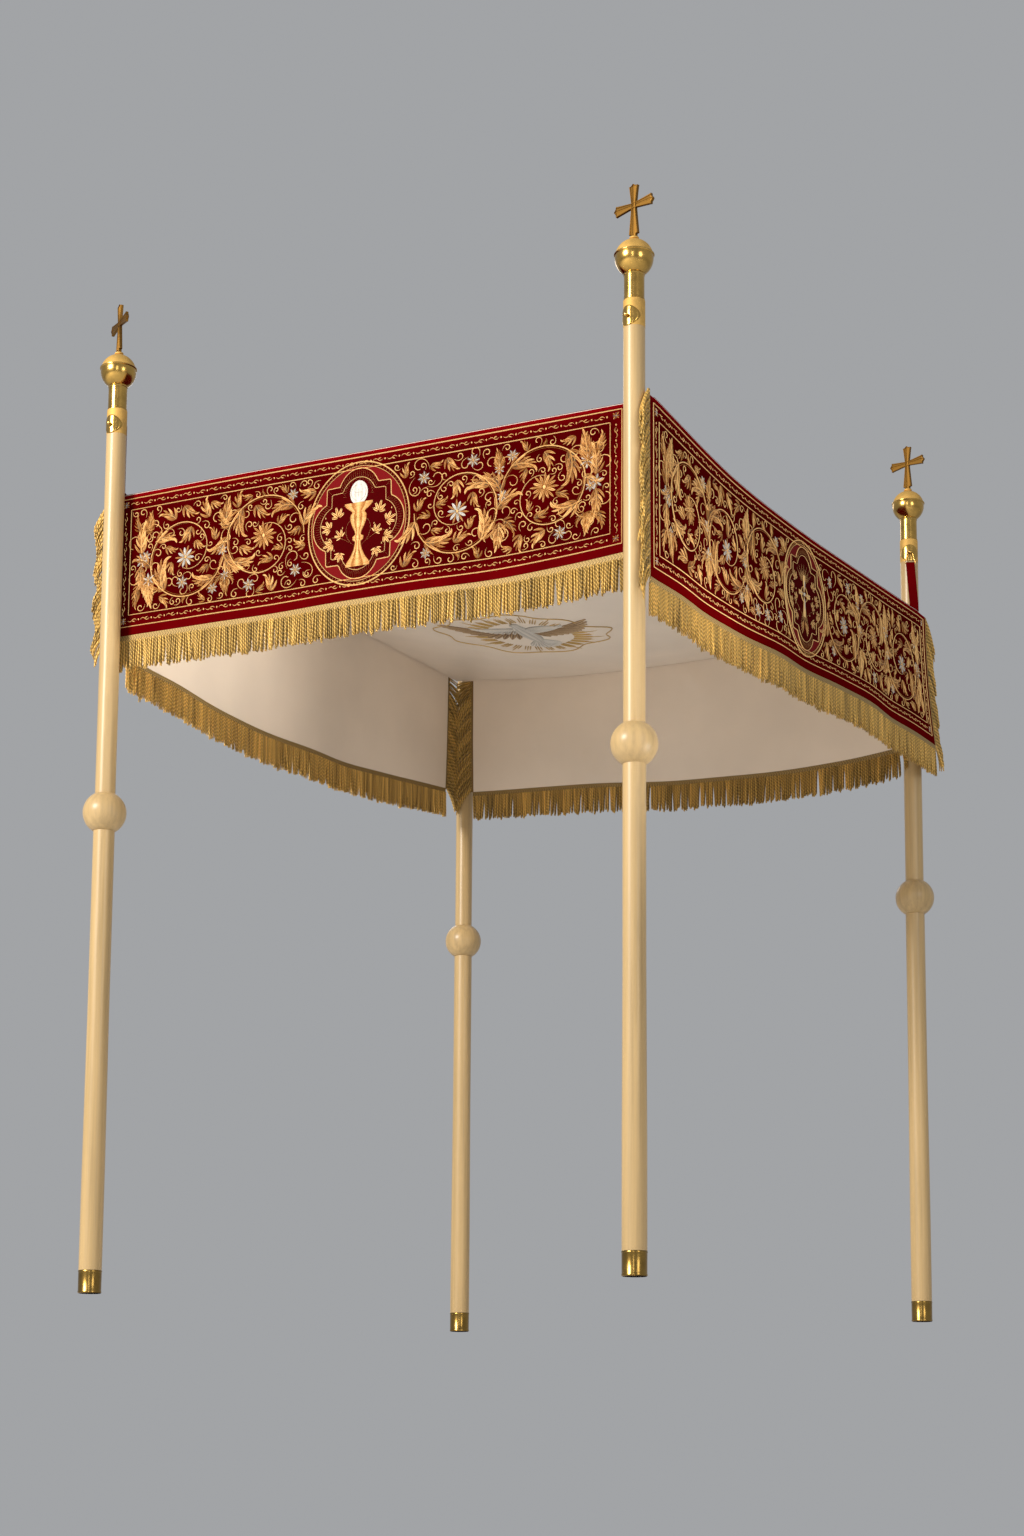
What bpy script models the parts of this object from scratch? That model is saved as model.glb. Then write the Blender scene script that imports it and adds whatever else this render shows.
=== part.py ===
"""Processional canopy carried on four turned poles.

A velvet-sided cloth roof hangs between four lacquered wooden poles. Each pole has a brass foot,
a ball knob at hand height, a brass ball finial with a cross, and a brass boss that the canopy
hangs from. Metres, +Z up. X runs along the short front side, Y along the long side, and the
poles stand on z = 0. The model is centred on its bounding box at the end.
"""
from math import cos, hypot, pi, radians, sin, sqrt, tau

import bmesh
import bpy
import numpy as np
from mathutils import Matrix, Vector

# Pole spacing and heights
SPACING_X = 1.440
SPACING_Y = 1.820
POLE_TOP = 2.500
FERRULE_TOP = 0.0545
KNOB_Z = 1.178
NECK_BOTTOM = 2.217
BALL_Z = 2.320
LIP_Z = 2.329
CROSS_BASE = 2.371
BOSS_Z = 2.174

# Turned radii
FOOT_RADIUS = 0.0278
GRIP_RADIUS = 0.0262
STAFF_RADIUS = 0.0250
KNOB_RADIUS = 0.0535
NECK_RADIUS = 0.0235
BALL_RADIUS = 0.0445
LIP_RADIUS = 0.0465
TURN_STEPS = 14

# Cross
CROSS_SPAN = 0.118
CROSS_CENTRE = 2.448
CROSS_THICK = 0.008

# Gaps between pieces, and sheet thicknesses
GAP = 0.0003
SEAM_GAP = 0.0004
VELVET = 0.0020
LINING = 0.0011
ROOF = 0.0020
LINING_INSET = 0.002
HEM = 0.008
ROOF_CELLS = {"x": 12, "y": 14}
SIDE_ROWS = 3

# Boss, D-ring and strap
PLATE_RADIUS = 0.024
PLATE_THICK = 0.0018
STUD_NECK = 0.003
STUD_HEAD = 0.0055
RING_REACH = 0.0312
RING_WIRE = 0.0014
BAR_Z = 2.140
BAR_WIDTH = 0.029
STRAP_WIDTH = 0.024
STRAP_CLOTH = 0.0018
STRAP_FOOT = 0.016

# Fringe
STRIP = 0.017
SIDE_STRIP = 0.009
FRINGE_THICK = 0.004
LOCK_DROP = 0.070
SIDE_DROP = 0.074

# Where each side's inner velvet face hangs, measured from the poles' rectangle. Along the side,
# start and end are counted outward from the pole axes.
SIDES = {
    # side: (axis it runs along, outward sign, face offset, start offset, end offset, locks)
    "front": ("x", -1, -0.036, 0.018, -0.030, 28),
    "back": ("x", 1, -0.036, -0.045, -0.030, 27),
    "left": ("y", -1, 0.012, -0.095, -0.090, 32),
    "right": ("y", 1, 0.032, -0.012, 0.028, 36),
}

# Hanging shape of each side at five places from start to end: height of the top edge, height of
# the bottom edge, and how far the bottom swings outward.
HANG = {
    "front": {"top": (2.002, 2.001, 1.996, 1.993, 1.990),
              "bottom": (1.636, 1.631, 1.630, 1.624, 1.642),
              "flare": (0.000, 0.003, 0.006, 0.003, 0.002)},
    "back": {"top": (1.986, 1.950, 1.940, 1.950, 1.994),
             "bottom": (1.634, 1.618, 1.594, 1.582, 1.610),
             "flare": (0.004, 0.014, 0.018, 0.012, 0.003)},
    "left": {"top": (2.002, 1.990, 1.984, 1.984, 1.986),
             "bottom": (1.612, 1.580, 1.576, 1.600, 1.642),
             "flare": (0.004, 0.012, 0.016, 0.012, 0.004)},
    "right": {"top": (1.990, 1.951, 1.952, 1.972, 1.994),
              "bottom": (1.564, 1.570, 1.594, 1.616, 1.617),
              "flare": (0.001, 0.004, 0.009, 0.015, 0.024)},
}
# Soft waves of each side: height of the wave, how many along the side, and where they start
WAVES = {
    "front": ((0.0024, 2.0, 0.3), (0.0012, 5.0, 1.1)),
    "back": ((0.0060, 2.5, 0.0), (0.0022, 4.5, 0.7)),
    "left": ((0.0060, 3.0, 1.2), (0.0022, 5.0, 0.2)),
    "right": ((0.0050, 3.0, 0.8), (0.0018, 5.5, 0.0)),
}
ROOF_SAG = 0.088
ROOF_WAVES = ((0.0060, 2.0, 3.0), (0.0030, 5.0, 2.0))

# Side fringes: side, end (0 start, 1 end), horizontal reach of the locks, rise above the top edge
SIDE_FRINGES = (
    ("front", 0, 0.052, 0.0), ("front", 1, 0.018, 0.0),
    ("back", 0, 0.038, 0.0), ("back", 1, 0.018, 0.0),
    ("left", 0, 0.034, 0.0), ("left", 1, 0.042, 0.0),
    ("right", 0, 0.036, 0.014), ("right", 1, 0.058, 0.0),
)
SIDE_LOCKS = 9

# Poles: place as signs of the half spacings, direction of the boss, direction of the cross arms,
# and whether the canopy hangs from a D-ring on the boss or from a stud on the inner side
POLES = {
    "a": ((-1, -1), -92, -35, False),
    "b": ((1, -1), -101, -16, False),
    "c": ((1, 1), -65, -17, True),
    "e": ((-1, 1), -80, -28, True),
}
STRAP_DRIFT = {"a": 0.0, "b": 0.0, "c": 0.009, "e": 0.004}

MATERIALS = {
    # name: (colour, metallic, roughness)
    "lacquered_wood": ((0.68, 0.48, 0.25), 0.0, 0.28),
    "polished_brass": ((0.72, 0.50, 0.20), 1.0, 0.18),
    "satin_brass": ((0.70, 0.47, 0.18), 1.0, 0.38),
    "crimson_velvet": ((0.19, 0.004, 0.012), 0.0, 0.85),
    "satin_lining": ((0.70, 0.66, 0.60), 0.0, 0.45),
    "gold_fringe": ((0.52, 0.36, 0.13), 0.2, 0.60),
}


def clear_scene():
    """Remove what the scene holds and start two collections, for the canopy and for cutters."""
    for item in list(bpy.data.objects):
        bpy.data.objects.remove(item, do_unlink=True)
    groups = []
    for label in ("processional_canopy", "cutters"):
        group = bpy.data.collections.new(label)
        bpy.context.scene.collection.children.link(group)
        groups.append(group)
    return groups


def make_material(name):
    """A Principled material from the table above."""
    colour, metallic, roughness = MATERIALS[name]
    material = bpy.data.materials.new(name)
    material.use_nodes = True
    shader = material.node_tree.nodes["Principled BSDF"]
    shader.inputs["Base Color"].default_value = (*colour, 1.0)
    shader.inputs["Metallic"].default_value = metallic
    shader.inputs["Roughness"].default_value = roughness
    material.diffuse_color = (*colour, 1.0)
    return material


def add_object(name, mesh, group, material=None):
    """Put a mesh into a new object of a collection."""
    item = bpy.data.objects.new(name, mesh)
    group.objects.link(item)
    if material:
        mesh.materials.clear()
        mesh.materials.append(material)
    return item


def hide_cutter(item):
    """Mark a cutter so that it is left out of the model."""
    item.hide_render = True
    item.display_type = "WIRE"


def boolean(item, cutter, operation):
    """Add an exact Boolean with one other object."""
    modifier = item.modifiers.new(operation.lower(), "BOOLEAN")
    modifier.operation = operation
    modifier.solver = "EXACT"
    modifier.object = cutter


def turned(name, profile, place, group, material=None):
    """A solid turned about a vertical axis: a profile of (radius, height), top to bottom."""
    mesh = bpy.data.meshes.new(name)
    points = [(radius, 0.0, height) for radius, height in profile]
    edges = [(i, i + 1) for i in range(len(points) - 1)]
    mesh.from_pydata(points, edges, [])
    item = add_object(name, mesh, group, material)
    item.location = (place[0], place[1], 0.0)
    screw = item.modifiers.new("turn", "SCREW")
    screw.steps = TURN_STEPS
    screw.render_steps = TURN_STEPS
    screw.use_merge_vertices = True
    screw.merge_threshold = 0.00001
    screw.use_smooth_shade = True
    return item


def arc(radius, centre, start, end, steps):
    """Profile points of a circle's arc, from one latitude to another, in degrees."""
    angles = np.radians(np.linspace(start, end, steps + 1))
    return [(radius * cos(a), centre + radius * sin(a)) for a in angles]


def cylinder_along(name, radius, start, end, sides, group):
    """A cylinder between two points, as a primitive turned and placed."""
    bm = bmesh.new()
    axis = Vector(end) - Vector(start)
    turn = axis.to_track_quat("Z", "Y").to_matrix().to_4x4()
    middle = Matrix.Translation((Vector(start) + Vector(end)) / 2)
    bmesh.ops.create_cone(bm, cap_ends=True, segments=sides, radius1=radius, radius2=radius,
                          depth=axis.length, matrix=middle @ turn)
    mesh = bpy.data.meshes.new(name)
    bm.to_mesh(mesh)
    bm.free()
    return add_object(name, mesh, group)


# Poles

def pole_place(key):
    """Plan position of a pole's axis."""
    signs = POLES[key][0]
    return signs[0] * SPACING_X / 2, signs[1] * SPACING_Y / 2


def ball_half_height():
    """Half the knob's height between its two flat seats."""
    return sqrt(KNOB_RADIUS ** 2 - GRIP_RADIUS ** 2)


def make_ferrule(key, group, material):
    """Brass cup that the pole's foot stands in, flat underneath."""
    wall = 0.0016
    floor = 0.004
    chamfer = 0.002
    inner = FOOT_RADIUS - wall
    profile = [(0, floor), (inner, floor), (inner, FERRULE_TOP), (FOOT_RADIUS, FERRULE_TOP),
               (FOOT_RADIUS, chamfer), (FOOT_RADIUS - chamfer, 0), (0, 0)]
    return turned(f"foot_ferrule_{key}", profile, pole_place(key), group, material)


def make_staff_lower(key, group, material):
    """Tapered lower staff, stepped in at its foot where the ferrule holds it."""
    top = KNOB_Z - ball_half_height() - GAP
    tenon = FOOT_RADIUS - 0.0016 - GAP
    profile = [(0, top), (GRIP_RADIUS, top), (GRIP_RADIUS, top - 0.45),
               (FOOT_RADIUS, 0.30), (FOOT_RADIUS, FERRULE_TOP + GAP),
               (tenon, FERRULE_TOP + GAP), (tenon, 0.004 + GAP), (0, 0.004 + GAP)]
    return turned(f"staff_lower_{key}", profile, pole_place(key), group, material)


def make_knob(key, group, material):
    """Ball knob with a flat seat above and below for the two staffs."""
    half = ball_half_height()
    edge = np.degrees(np.arcsin(half / KNOB_RADIUS))
    profile = [(0, KNOB_Z + half)]
    profile += arc(KNOB_RADIUS, KNOB_Z, edge, -edge, 8)
    profile += [(0, KNOB_Z - half)]
    return turned(f"knob_{key}", profile, pole_place(key), group, material)


def make_staff_upper(key, group, cutters, material):
    """Upper staff from the knob to the brass neck, with the hanging stud where there is one."""
    bottom = KNOB_Z + ball_half_height() + GAP
    top = NECK_BOTTOM - GAP
    profile = [(0, top), (STAFF_RADIUS, top), (STAFF_RADIUS, bottom), (0, bottom)]
    staff = turned(f"staff_upper_{key}", profile, pole_place(key), group, material)
    if not POLES[key][3]:
        x, y = pole_place(key)
        head = STAFF_RADIUS + 0.0036
        for part, radius, reach in (("neck", STUD_NECK, head), ("head", STUD_HEAD, head + 0.0016)):
            start = (x, y + (0.012 if part == "neck" else head), BOSS_Z)
            end = (x, y + reach + (0.0008 if part == "neck" else 0), BOSS_Z)
            stud = cylinder_along(f"stud_{part}_{key}", radius, start, end, 10, cutters)
            hide_cutter(stud)
            boolean(staff, stud, "UNION")
    return staff


def make_finial_cup(key, group, material):
    """Brass neck and the lower half of the ball, up to its standing lip."""
    foot = sqrt(BALL_RADIUS ** 2 - NECK_RADIUS ** 2)
    start = np.degrees(np.arcsin((LIP_Z - 0.003 - BALL_Z) / BALL_RADIUS))
    end = -np.degrees(np.arcsin(foot / BALL_RADIUS))
    profile = [(0, LIP_Z), (LIP_RADIUS, LIP_Z), (LIP_RADIUS, LIP_Z - 0.002)]
    profile += arc(BALL_RADIUS, BALL_Z, start, end, 4)
    profile += [(NECK_RADIUS, NECK_BOTTOM), (0, NECK_BOTTOM)]
    return turned(f"finial_cup_{key}", profile, pole_place(key), group, material)


def make_finial_dome(key, group, material):
    """Upper half of the ball with the small collar that the cross stands on."""
    collar = 0.011
    base = LIP_Z + GAP
    start = np.degrees(np.arccos(collar / BALL_RADIUS))
    end = np.degrees(np.arcsin((base - BALL_Z) / BALL_RADIUS))
    top = CROSS_BASE - GAP
    profile = [(0, top), (collar, top)] + arc(BALL_RADIUS, BALL_Z, start, end, 5) + [(0, base)]
    return turned(f"finial_dome_{key}", profile, pole_place(key), group, material)


def arm_outline(length, width, tip, direction):
    """Right then left edge of one cross arm that flares to a three-pointed end."""
    half = width / 2
    wide = tip / 2
    right = [(half, half), (half * 1.05, length * 0.45), (wide * 0.86, length - 0.015),
             (wide * 1.05, length - 0.009), (wide * 0.62, length - 0.0065),
             (wide * 0.28, length - 0.003), (0.0, length)]
    left = [(-x, y) for x, y in reversed(right[:-1])]
    turn = radians(direction)
    return [(x * cos(turn) - y * sin(turn), x * sin(turn) + y * cos(turn)) for x, y in right + left]


def make_cross(key, group, material):
    """Flat cross with three-pointed arms, standing on the finial's collar."""
    width = 0.016
    tip = 0.0245
    upper = POLE_TOP - CROSS_CENTRE
    lower = CROSS_CENTRE - CROSS_BASE
    outline = arm_outline(upper, width, tip, 0)
    outline += arm_outline(CROSS_SPAN / 2, width, tip, 90)
    half = width / 2
    outline += [(-half, -half), (-half, -lower * 0.52), (-half - 0.003, -lower * 0.56),
                (-half, -lower * 0.60), (-half * 1.15, -lower * 0.86), (-0.0105, -lower),
                (0.0105, -lower), (half * 1.15, -lower * 0.86), (half, -lower * 0.60),
                (half + 0.003, -lower * 0.56), (half, -lower * 0.52), (half, -half)]
    outline += arm_outline(CROSS_SPAN / 2, width, tip, -90)
    points = [p for i, p in enumerate(outline) if hypot(p[0] - outline[i - 1][0],
                                                        p[1] - outline[i - 1][1]) > 1e-6]
    curve = bpy.data.curves.new(f"cross_outline_{key}", "CURVE")
    curve.dimensions = "2D"
    curve.fill_mode = "BOTH"
    curve.extrude = CROSS_THICK / 2
    spline = curve.splines.new("POLY")
    spline.points.add(len(points) - 1)
    for point, (x, y) in zip(spline.points, points):
        point.co = (x, y, 0.0, 1.0)
    spline.use_cyclic_u = True
    x, y = pole_place(key)
    place = Matrix.Translation((x, y, CROSS_CENTRE))
    place @= Matrix.Rotation(radians(POLES[key][2]), 4, "Z") @ Matrix.Rotation(pi / 2, 4, "X")
    return curve_to_object(f"cross_{key}", curve, place, group, material)


def curve_to_object(name, curve, place, group, material):
    """Turn a curve into a mesh object with welded caps."""
    source = bpy.data.objects.new(f"{name}_curve", curve)
    group.objects.link(source)
    source.matrix_world = place
    bpy.context.view_layer.update()
    evaluated = source.evaluated_get(bpy.context.evaluated_depsgraph_get())
    mesh = bpy.data.meshes.new_from_object(evaluated)
    mesh.name = name
    bm = bmesh.new()
    bm.from_mesh(mesh)
    bmesh.ops.remove_doubles(bm, verts=bm.verts, dist=0.00002)
    bmesh.ops.recalc_face_normals(bm, faces=bm.faces)
    bm.to_mesh(mesh)
    bm.free()
    item = add_object(name, mesh, group, material)
    item.matrix_world = place
    bpy.data.objects.remove(source, do_unlink=True)
    return item


def boss_direction(key):
    """Unit plan vector in which a pole's boss faces."""
    angle = radians(POLES[key][1])
    return Vector((cos(angle), sin(angle), 0.0))


def make_boss(key, group, cutters, material):
    """Round brass plate bent around the staff, with a headed knob in its centre."""
    x, y = pole_place(key)
    facing = boss_direction(key)
    centre = Vector((x, y, BOSS_Z))
    inner = STAFF_RADIUS + GAP
    outer = inner + PLATE_THICK
    high = BOSS_Z + 0.03
    low = BOSS_Z - 0.03
    sleeve = [(outer, high), (outer, low), (inner, low), (inner, high), (outer, high)]
    plate = turned(f"boss_{key}", sleeve, (x, y), group, material)
    disc = cylinder_along(f"boss_disc_{key}", PLATE_RADIUS, centre, centre + facing * 0.05, 18, cutters)
    hide_cutter(disc)
    boolean(plate, disc, "INTERSECT")
    head = RING_REACH + RING_WIRE + 0.0008
    parts = (("neck", STUD_NECK, inner + PLATE_THICK / 2, head + 0.001), ("head", STUD_HEAD, head, head + 0.004))
    for part, radius, start, end in parts:
        knob = cylinder_along(f"boss_{part}_{key}", radius, centre + facing * start,
                              centre + facing * end, 10, cutters)
        hide_cutter(knob)
        boolean(plate, knob, "UNION")
    return plate


def make_ring(key, group, material):
    """D-ring of brass wire that hangs on the boss knob, with a straight bar at its foot."""
    facing = boss_direction(key)
    across = Vector((-facing.y, facing.x, 0.0))
    top = BOSS_Z + STUD_NECK + RING_WIRE + GAP
    bend = 0.0062
    half = BAR_WIDTH / 2
    corner = 0.003
    outline = [(bend * cos(a), top - bend + bend * sin(a)) for a in np.linspace(0.25, pi - 0.25, 7)]
    outline += [(-half, BAR_Z + corner), (-half + corner * 0.3, BAR_Z + corner * 0.3),
                (-half + corner, BAR_Z), (half - corner, BAR_Z),
                (half - corner * 0.3, BAR_Z + corner * 0.3), (half, BAR_Z + corner)]
    x, y = pole_place(key)
    base = Vector((x, y, 0.0)) + facing * RING_REACH
    curve = bpy.data.curves.new(f"ring_wire_{key}", "CURVE")
    curve.dimensions = "3D"
    curve.bevel_depth = RING_WIRE
    curve.bevel_resolution = 1
    curve.use_fill_caps = True
    spline = curve.splines.new("POLY")
    spline.points.add(len(outline) - 1)
    for point, (side, height) in zip(spline.points, outline):
        point.co = (*(base + across * side + Vector((0, 0, height))), 1.0)
    spline.use_cyclic_u = True
    return curve_to_object(f"ring_{key}", curve, Matrix.Identity(4), group, material)


# Canopy shape

def along_range(side):
    """Start and end of a side's cloth along its own axis."""
    axis, _, _, start, end, _ = SIDES[side]
    half = (SPACING_X if axis == "x" else SPACING_Y) / 2
    return -half - start, half + end


def roof_range(axis):
    """Roof's extent along one axis, out to the outer faces of the two sides that close it."""
    low, high = ("left", "right") if axis == "x" else ("front", "back")
    half = (SPACING_X if axis == "x" else SPACING_Y) / 2
    return -half - SIDES[low][2] - VELVET, half + SIDES[high][2] + VELVET


def smooth_table(values, place):
    """Catmull-Rom curve through evenly spaced values, read at places from 0 to 1."""
    data = np.asarray(values, float)
    spans = len(data) - 1
    at = np.clip(np.asarray(place, float), 0.0, 1.0) * spans
    cell = np.minimum(at.astype(int), spans - 1)
    t = at - cell
    padded = np.concatenate(([2 * data[0] - data[1]], data, [2 * data[-1] - data[-2]]))
    p0, p1, p2, p3 = (padded[cell + k] for k in range(4))
    slope = p2 - p0
    bend = 2 * p0 - 5 * p1 + 4 * p2 - p3
    twist = 3 * (p1 - p2) + p3 - p0
    return 0.5 * (2 * p1 + t * (slope + t * (bend + t * twist)))


def roof_share(axis, along):
    """Share of the roof's inside that a place has reached: 0 and 1 over the two hems."""
    low, high = roof_range(axis)
    return np.clip((along - low - HEM) / (high - low - 2 * HEM), 0.0, 1.0)


def roof_place(side, along):
    """Place of a point along a side, as a share of the roof's edge above it."""
    return roof_share(SIDES[side][0], along)


def top_height(side, along):
    """Height of a side's top edge."""
    return smooth_table(HANG[side]["top"], roof_place(side, along))


def side_surface(side, along, down):
    """Points of a side's inner velvet face. down runs from 0 at the top edge to 1 at the hem.

    The height runs straight from the top edge to the hem, and the face swings outward with the
    square of down, plus soft waves that grow from the top edge.
    """
    axis, sign, offset, _, _, _ = SIDES[side]
    place = roof_place(side, along)
    top = top_height(side, along)
    bottom = smooth_table(HANG[side]["bottom"], place)
    swing = smooth_table(HANG[side]["flare"], place) * down ** 2
    fade = np.clip(place * (1 - place) * 8, 0.0, 1.0)
    for height, count, start in WAVES[side]:
        swing = swing + height * fade * down * np.sin(tau * count * place + start)
    half = (SPACING_Y if axis == "x" else SPACING_X) / 2
    out = sign * (half + offset + swing)
    z = top + (bottom - top) * down
    columns = (along, out, z) if axis == "x" else (out, along, z)
    return np.stack(np.broadcast_arrays(*columns), axis=-1)


def outward(side):
    """Unit vector out of a side's plane."""
    axis, sign = SIDES[side][:2]
    return np.array((0.0, sign, 0.0) if axis == "x" else (sign, 0.0, 0.0))


def grid_object(name, columns, rows, place_points, group, material):
    """A primitive grid whose points are moved by a function of their two grid places, 0 to 1."""
    bm = bmesh.new()
    bmesh.ops.create_grid(bm, x_segments=columns, y_segments=rows, size=0.5)
    places = np.array([vert.co[:2] for vert in bm.verts]) + 0.5
    points = place_points(places[:, 0], places[:, 1])
    for vert, point in zip(bm.verts, points):
        vert.co = point
    mesh = bpy.data.meshes.new(name)
    bm.to_mesh(mesh)
    bm.free()
    return add_object(name, mesh, group, material)


def face_outward(item, direction):
    """Turn a sheet's faces so that their mean normal points along a direction."""
    bm = bmesh.new()
    bm.from_mesh(item.data)
    bm.normal_update()
    mean = sum((face.normal * face.calc_area() for face in bm.faces), Vector())
    if mean.dot(Vector(direction)) < 0:
        bmesh.ops.reverse_faces(bm, faces=bm.faces)
    bm.to_mesh(item.data)
    bm.free()


def solidify(item, thickness, offset):
    """Give an open sheet its thickness: offset 1 grows along its normals, -1 against them."""
    modifier = item.modifiers.new("cloth", "SOLIDIFY")
    modifier.thickness = thickness
    modifier.offset = offset
    modifier.use_even_offset = False


def side_breaks(side, inset):
    """Places of a side's grid lines: its two ends, and the roof's grid lines between them."""
    low, high = along_range(side)
    breaks = roof_breaks(SIDES[side][0])
    inside = breaks[(breaks > low + HEM) & (breaks < high - HEM)]
    return np.concatenate(([low + inset], inside, [high - inset]))


def make_side_sheet(side, layer, group, material):
    """One layer of a side: the velvet face or the lining behind it."""
    shift = 0.0 if layer == "velvet" else -SEAM_GAP
    places = side_breaks(side, 0.0 if layer == "velvet" else LINING_INSET)
    columns = len(places) - 1

    def points(u, v):
        along = places[np.rint(u * columns).astype(int)]
        return side_surface(side, along, v) + outward(side) * shift

    item = grid_object(f"{layer}_{side}", columns, SIDE_ROWS, points, group, material)
    face_outward(item, outward(side))
    thickness, offset = (VELVET, 1) if layer == "velvet" else (LINING, -1)
    solidify(item, thickness, offset)
    return item


def roof_height(x, y):
    """Height of the roof's under face.

    A patch blended between the four top edges, less a sag that is deepest in the middle, plus
    two soft waves. A flat hem runs over the tops of the sides.
    """
    x_low, x_high = roof_range("x")
    y_low, y_high = roof_range("y")
    u = roof_share("x", x)
    v = roof_share("y", y)
    across = (1 - v) * top_height("front", x) + v * top_height("back", x)
    lengthways = (1 - u) * top_height("left", y) + u * top_height("right", y)
    corners = ((1 - u) * (1 - v) * top_height("front", x_low) + u * (1 - v) * top_height("front", x_high)
               + (1 - u) * v * top_height("back", x_low) + u * v * top_height("back", x_high))
    belly = (np.sin(pi * u) * np.sin(pi * v)) ** 0.85
    height = across + lengthways - corners - ROOF_SAG * belly
    for depth, along_x, along_y in ROOF_WAVES:
        height = height + depth * belly * np.sin(tau * along_x * u + 0.6) * np.sin(tau * along_y * v)
    return height + GAP


def roof_breaks(axis):
    """Places of the roof's grid lines: its outermost cells are the hem, the others are even."""
    low, high = roof_range(axis)
    inside = np.linspace(low + HEM, high - HEM, ROOF_CELLS[axis] - 1)
    return np.concatenate(([low], inside, [high]))


def make_roof(group, material):
    """The canopy's roof, hanging in a shallow belly between the four sides."""
    columns = ROOF_CELLS["x"]
    rows = ROOF_CELLS["y"]

    def points(u, v):
        x = roof_breaks("x")[np.rint(u * columns).astype(int)]
        y = roof_breaks("y")[np.rint(v * rows).astype(int)]
        return np.stack((x, y, roof_height(x, y)), axis=-1)

    item = grid_object("roof", columns, rows, points, group, material)
    face_outward(item, (0, 0, 1))
    solidify(item, ROOF, 1)
    return item


# Fringe

def comb_object(name, teeth, segments, place_points, direction, group, material):
    """A comb cut from a grid: one row of strip, and below it every other column left as a lock.

    place_points takes each point's column place, its row (0 and 1 are the strip) and its lock.
    """
    columns = 2 * teeth + 1
    rows = 1 + segments
    bm = bmesh.new()
    bmesh.ops.create_grid(bm, x_segments=columns, y_segments=rows, size=0.5)
    gaps = []
    for face in bm.faces:
        middle = face.calc_center_median()
        column = int((middle.x + 0.5) * columns)
        row = int((middle.y + 0.5) * rows)
        if row > 0 and column % 2 == 0:
            gaps.append(face)
    bmesh.ops.delete(bm, geom=gaps, context="FACES")
    places = np.array([vert.co[:2] for vert in bm.verts]) + 0.5
    column = np.rint(places[:, 0] * columns)
    row = np.rint(places[:, 1] * rows)
    lock = np.clip((column - 1) // 2, 0, teeth - 1)
    for vert, point in zip(bm.verts, place_points(column / columns, row, lock)):
        vert.co = point
    mesh = bpy.data.meshes.new(name)
    bm.to_mesh(mesh)
    bm.free()
    item = add_object(name, mesh, group, material)
    face_outward(item, direction)
    solidify(item, FRINGE_THICK, 0)
    return item


def fringe_middle():
    """Middle of the two sewn layers, from the velvet's inner face."""
    return (VELVET - LINING - SEAM_GAP) / 2


def make_bottom_fringe(side, group, material):
    """Braid strip along a side's hem with its hanging locks."""
    teeth = SIDES[side][5]
    low, high = along_range(side)
    breaks = side_breaks(side, 0.0)
    pitch = (high - low) / (2 * teeth + 1)
    narrow = 0.30 * pitch

    def points(share, row, lock):
        along = low + share * (high - low)
        centre = low + (2 * lock + 1.5) * pitch
        hanging = row > 1
        sway = 0.004 * np.sin(2.1 * lock + 0.5) * hanging
        along = np.where(hanging, centre + np.sign(along - centre) * (pitch / 2 + narrow), along) + sway
        root = np.where(hanging, centre, along)
        hem = side_surface(side, root, 1.0)
        hem[:, 2] = np.interp(root, breaks, side_surface(side, breaks, 1.0)[:, 2])
        drop = SEAM_GAP + row.clip(0, 1) * STRIP
        drop = drop + (row - 1).clip(0) * (LOCK_DROP + 0.004 * np.sin(1.7 * lock))
        out = fringe_middle() + hanging * 0.003 * np.sin(1.3 * lock)
        result = hem + outward(side) * out[:, None]
        result[:, 0 if SIDES[side][0] == "x" else 1] = along
        result[:, 2] -= drop
        return result

    return comb_object(f"fringe_{side}", teeth, 1, points, outward(side), group, material)


def make_side_fringe(side, end, reach, rise, group, material):
    """Braid strip up one end of a side, with locks that droop outward and down."""
    low, high = along_range(side)
    edge = high if end else low
    away = 1 if end else -1
    name = f"fringe_{side}_{'end' if end else 'start'}"

    def points(share, row, lock):
        tall = side_surface(side, np.full(share.shape, edge), share)
        fall = (row - 1).clip(0) / 2
        droop = np.sin(fall * pi / 2)
        result = tall + outward(side) * fringe_middle()
        width = GAP + row.clip(0, 1) * SIDE_STRIP + reach * droop * (1 + 0.12 * np.sin(2.3 * lock))
        result[:, 0 if SIDES[side][0] == "x" else 1] += away * width
        result[:, 2] -= SIDE_DROP * fall ** 1.2 * (1 + 0.08 * np.sin(1.9 * lock + 1))
        result[:, 2] += rise * (1 - share) ** 4
        return result

    return comb_object(name, SIDE_LOCKS, 2, points, outward(side), group, material)


# Straps

def strap_frame(key):
    """Where a strap hangs: its plan origin on the pole axis, the way it faces, and across it."""
    facing = boss_direction(key) if POLES[key][3] else Vector((0.0, 1.0, 0.0))
    across = Vector((-facing.y, facing.x, 0.0))
    return Vector((*pole_place(key), 0.0)), facing, across


def strap_floor(key):
    """Height that a strap's foot rests at: just over the highest roof under it."""
    origin, facing, across = strap_frame(key)
    reach = np.linspace(STAFF_RADIUS, RING_REACH + STRAP_FOOT, 6)
    side = np.linspace(-STRAP_WIDTH, STRAP_WIDTH, 7)[:, None]
    x = origin.x + facing.x * reach + across.x * side
    y = origin.y + facing.y * reach + across.y * side
    return float(roof_height(x, y).max()) + ROOF + GAP


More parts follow.
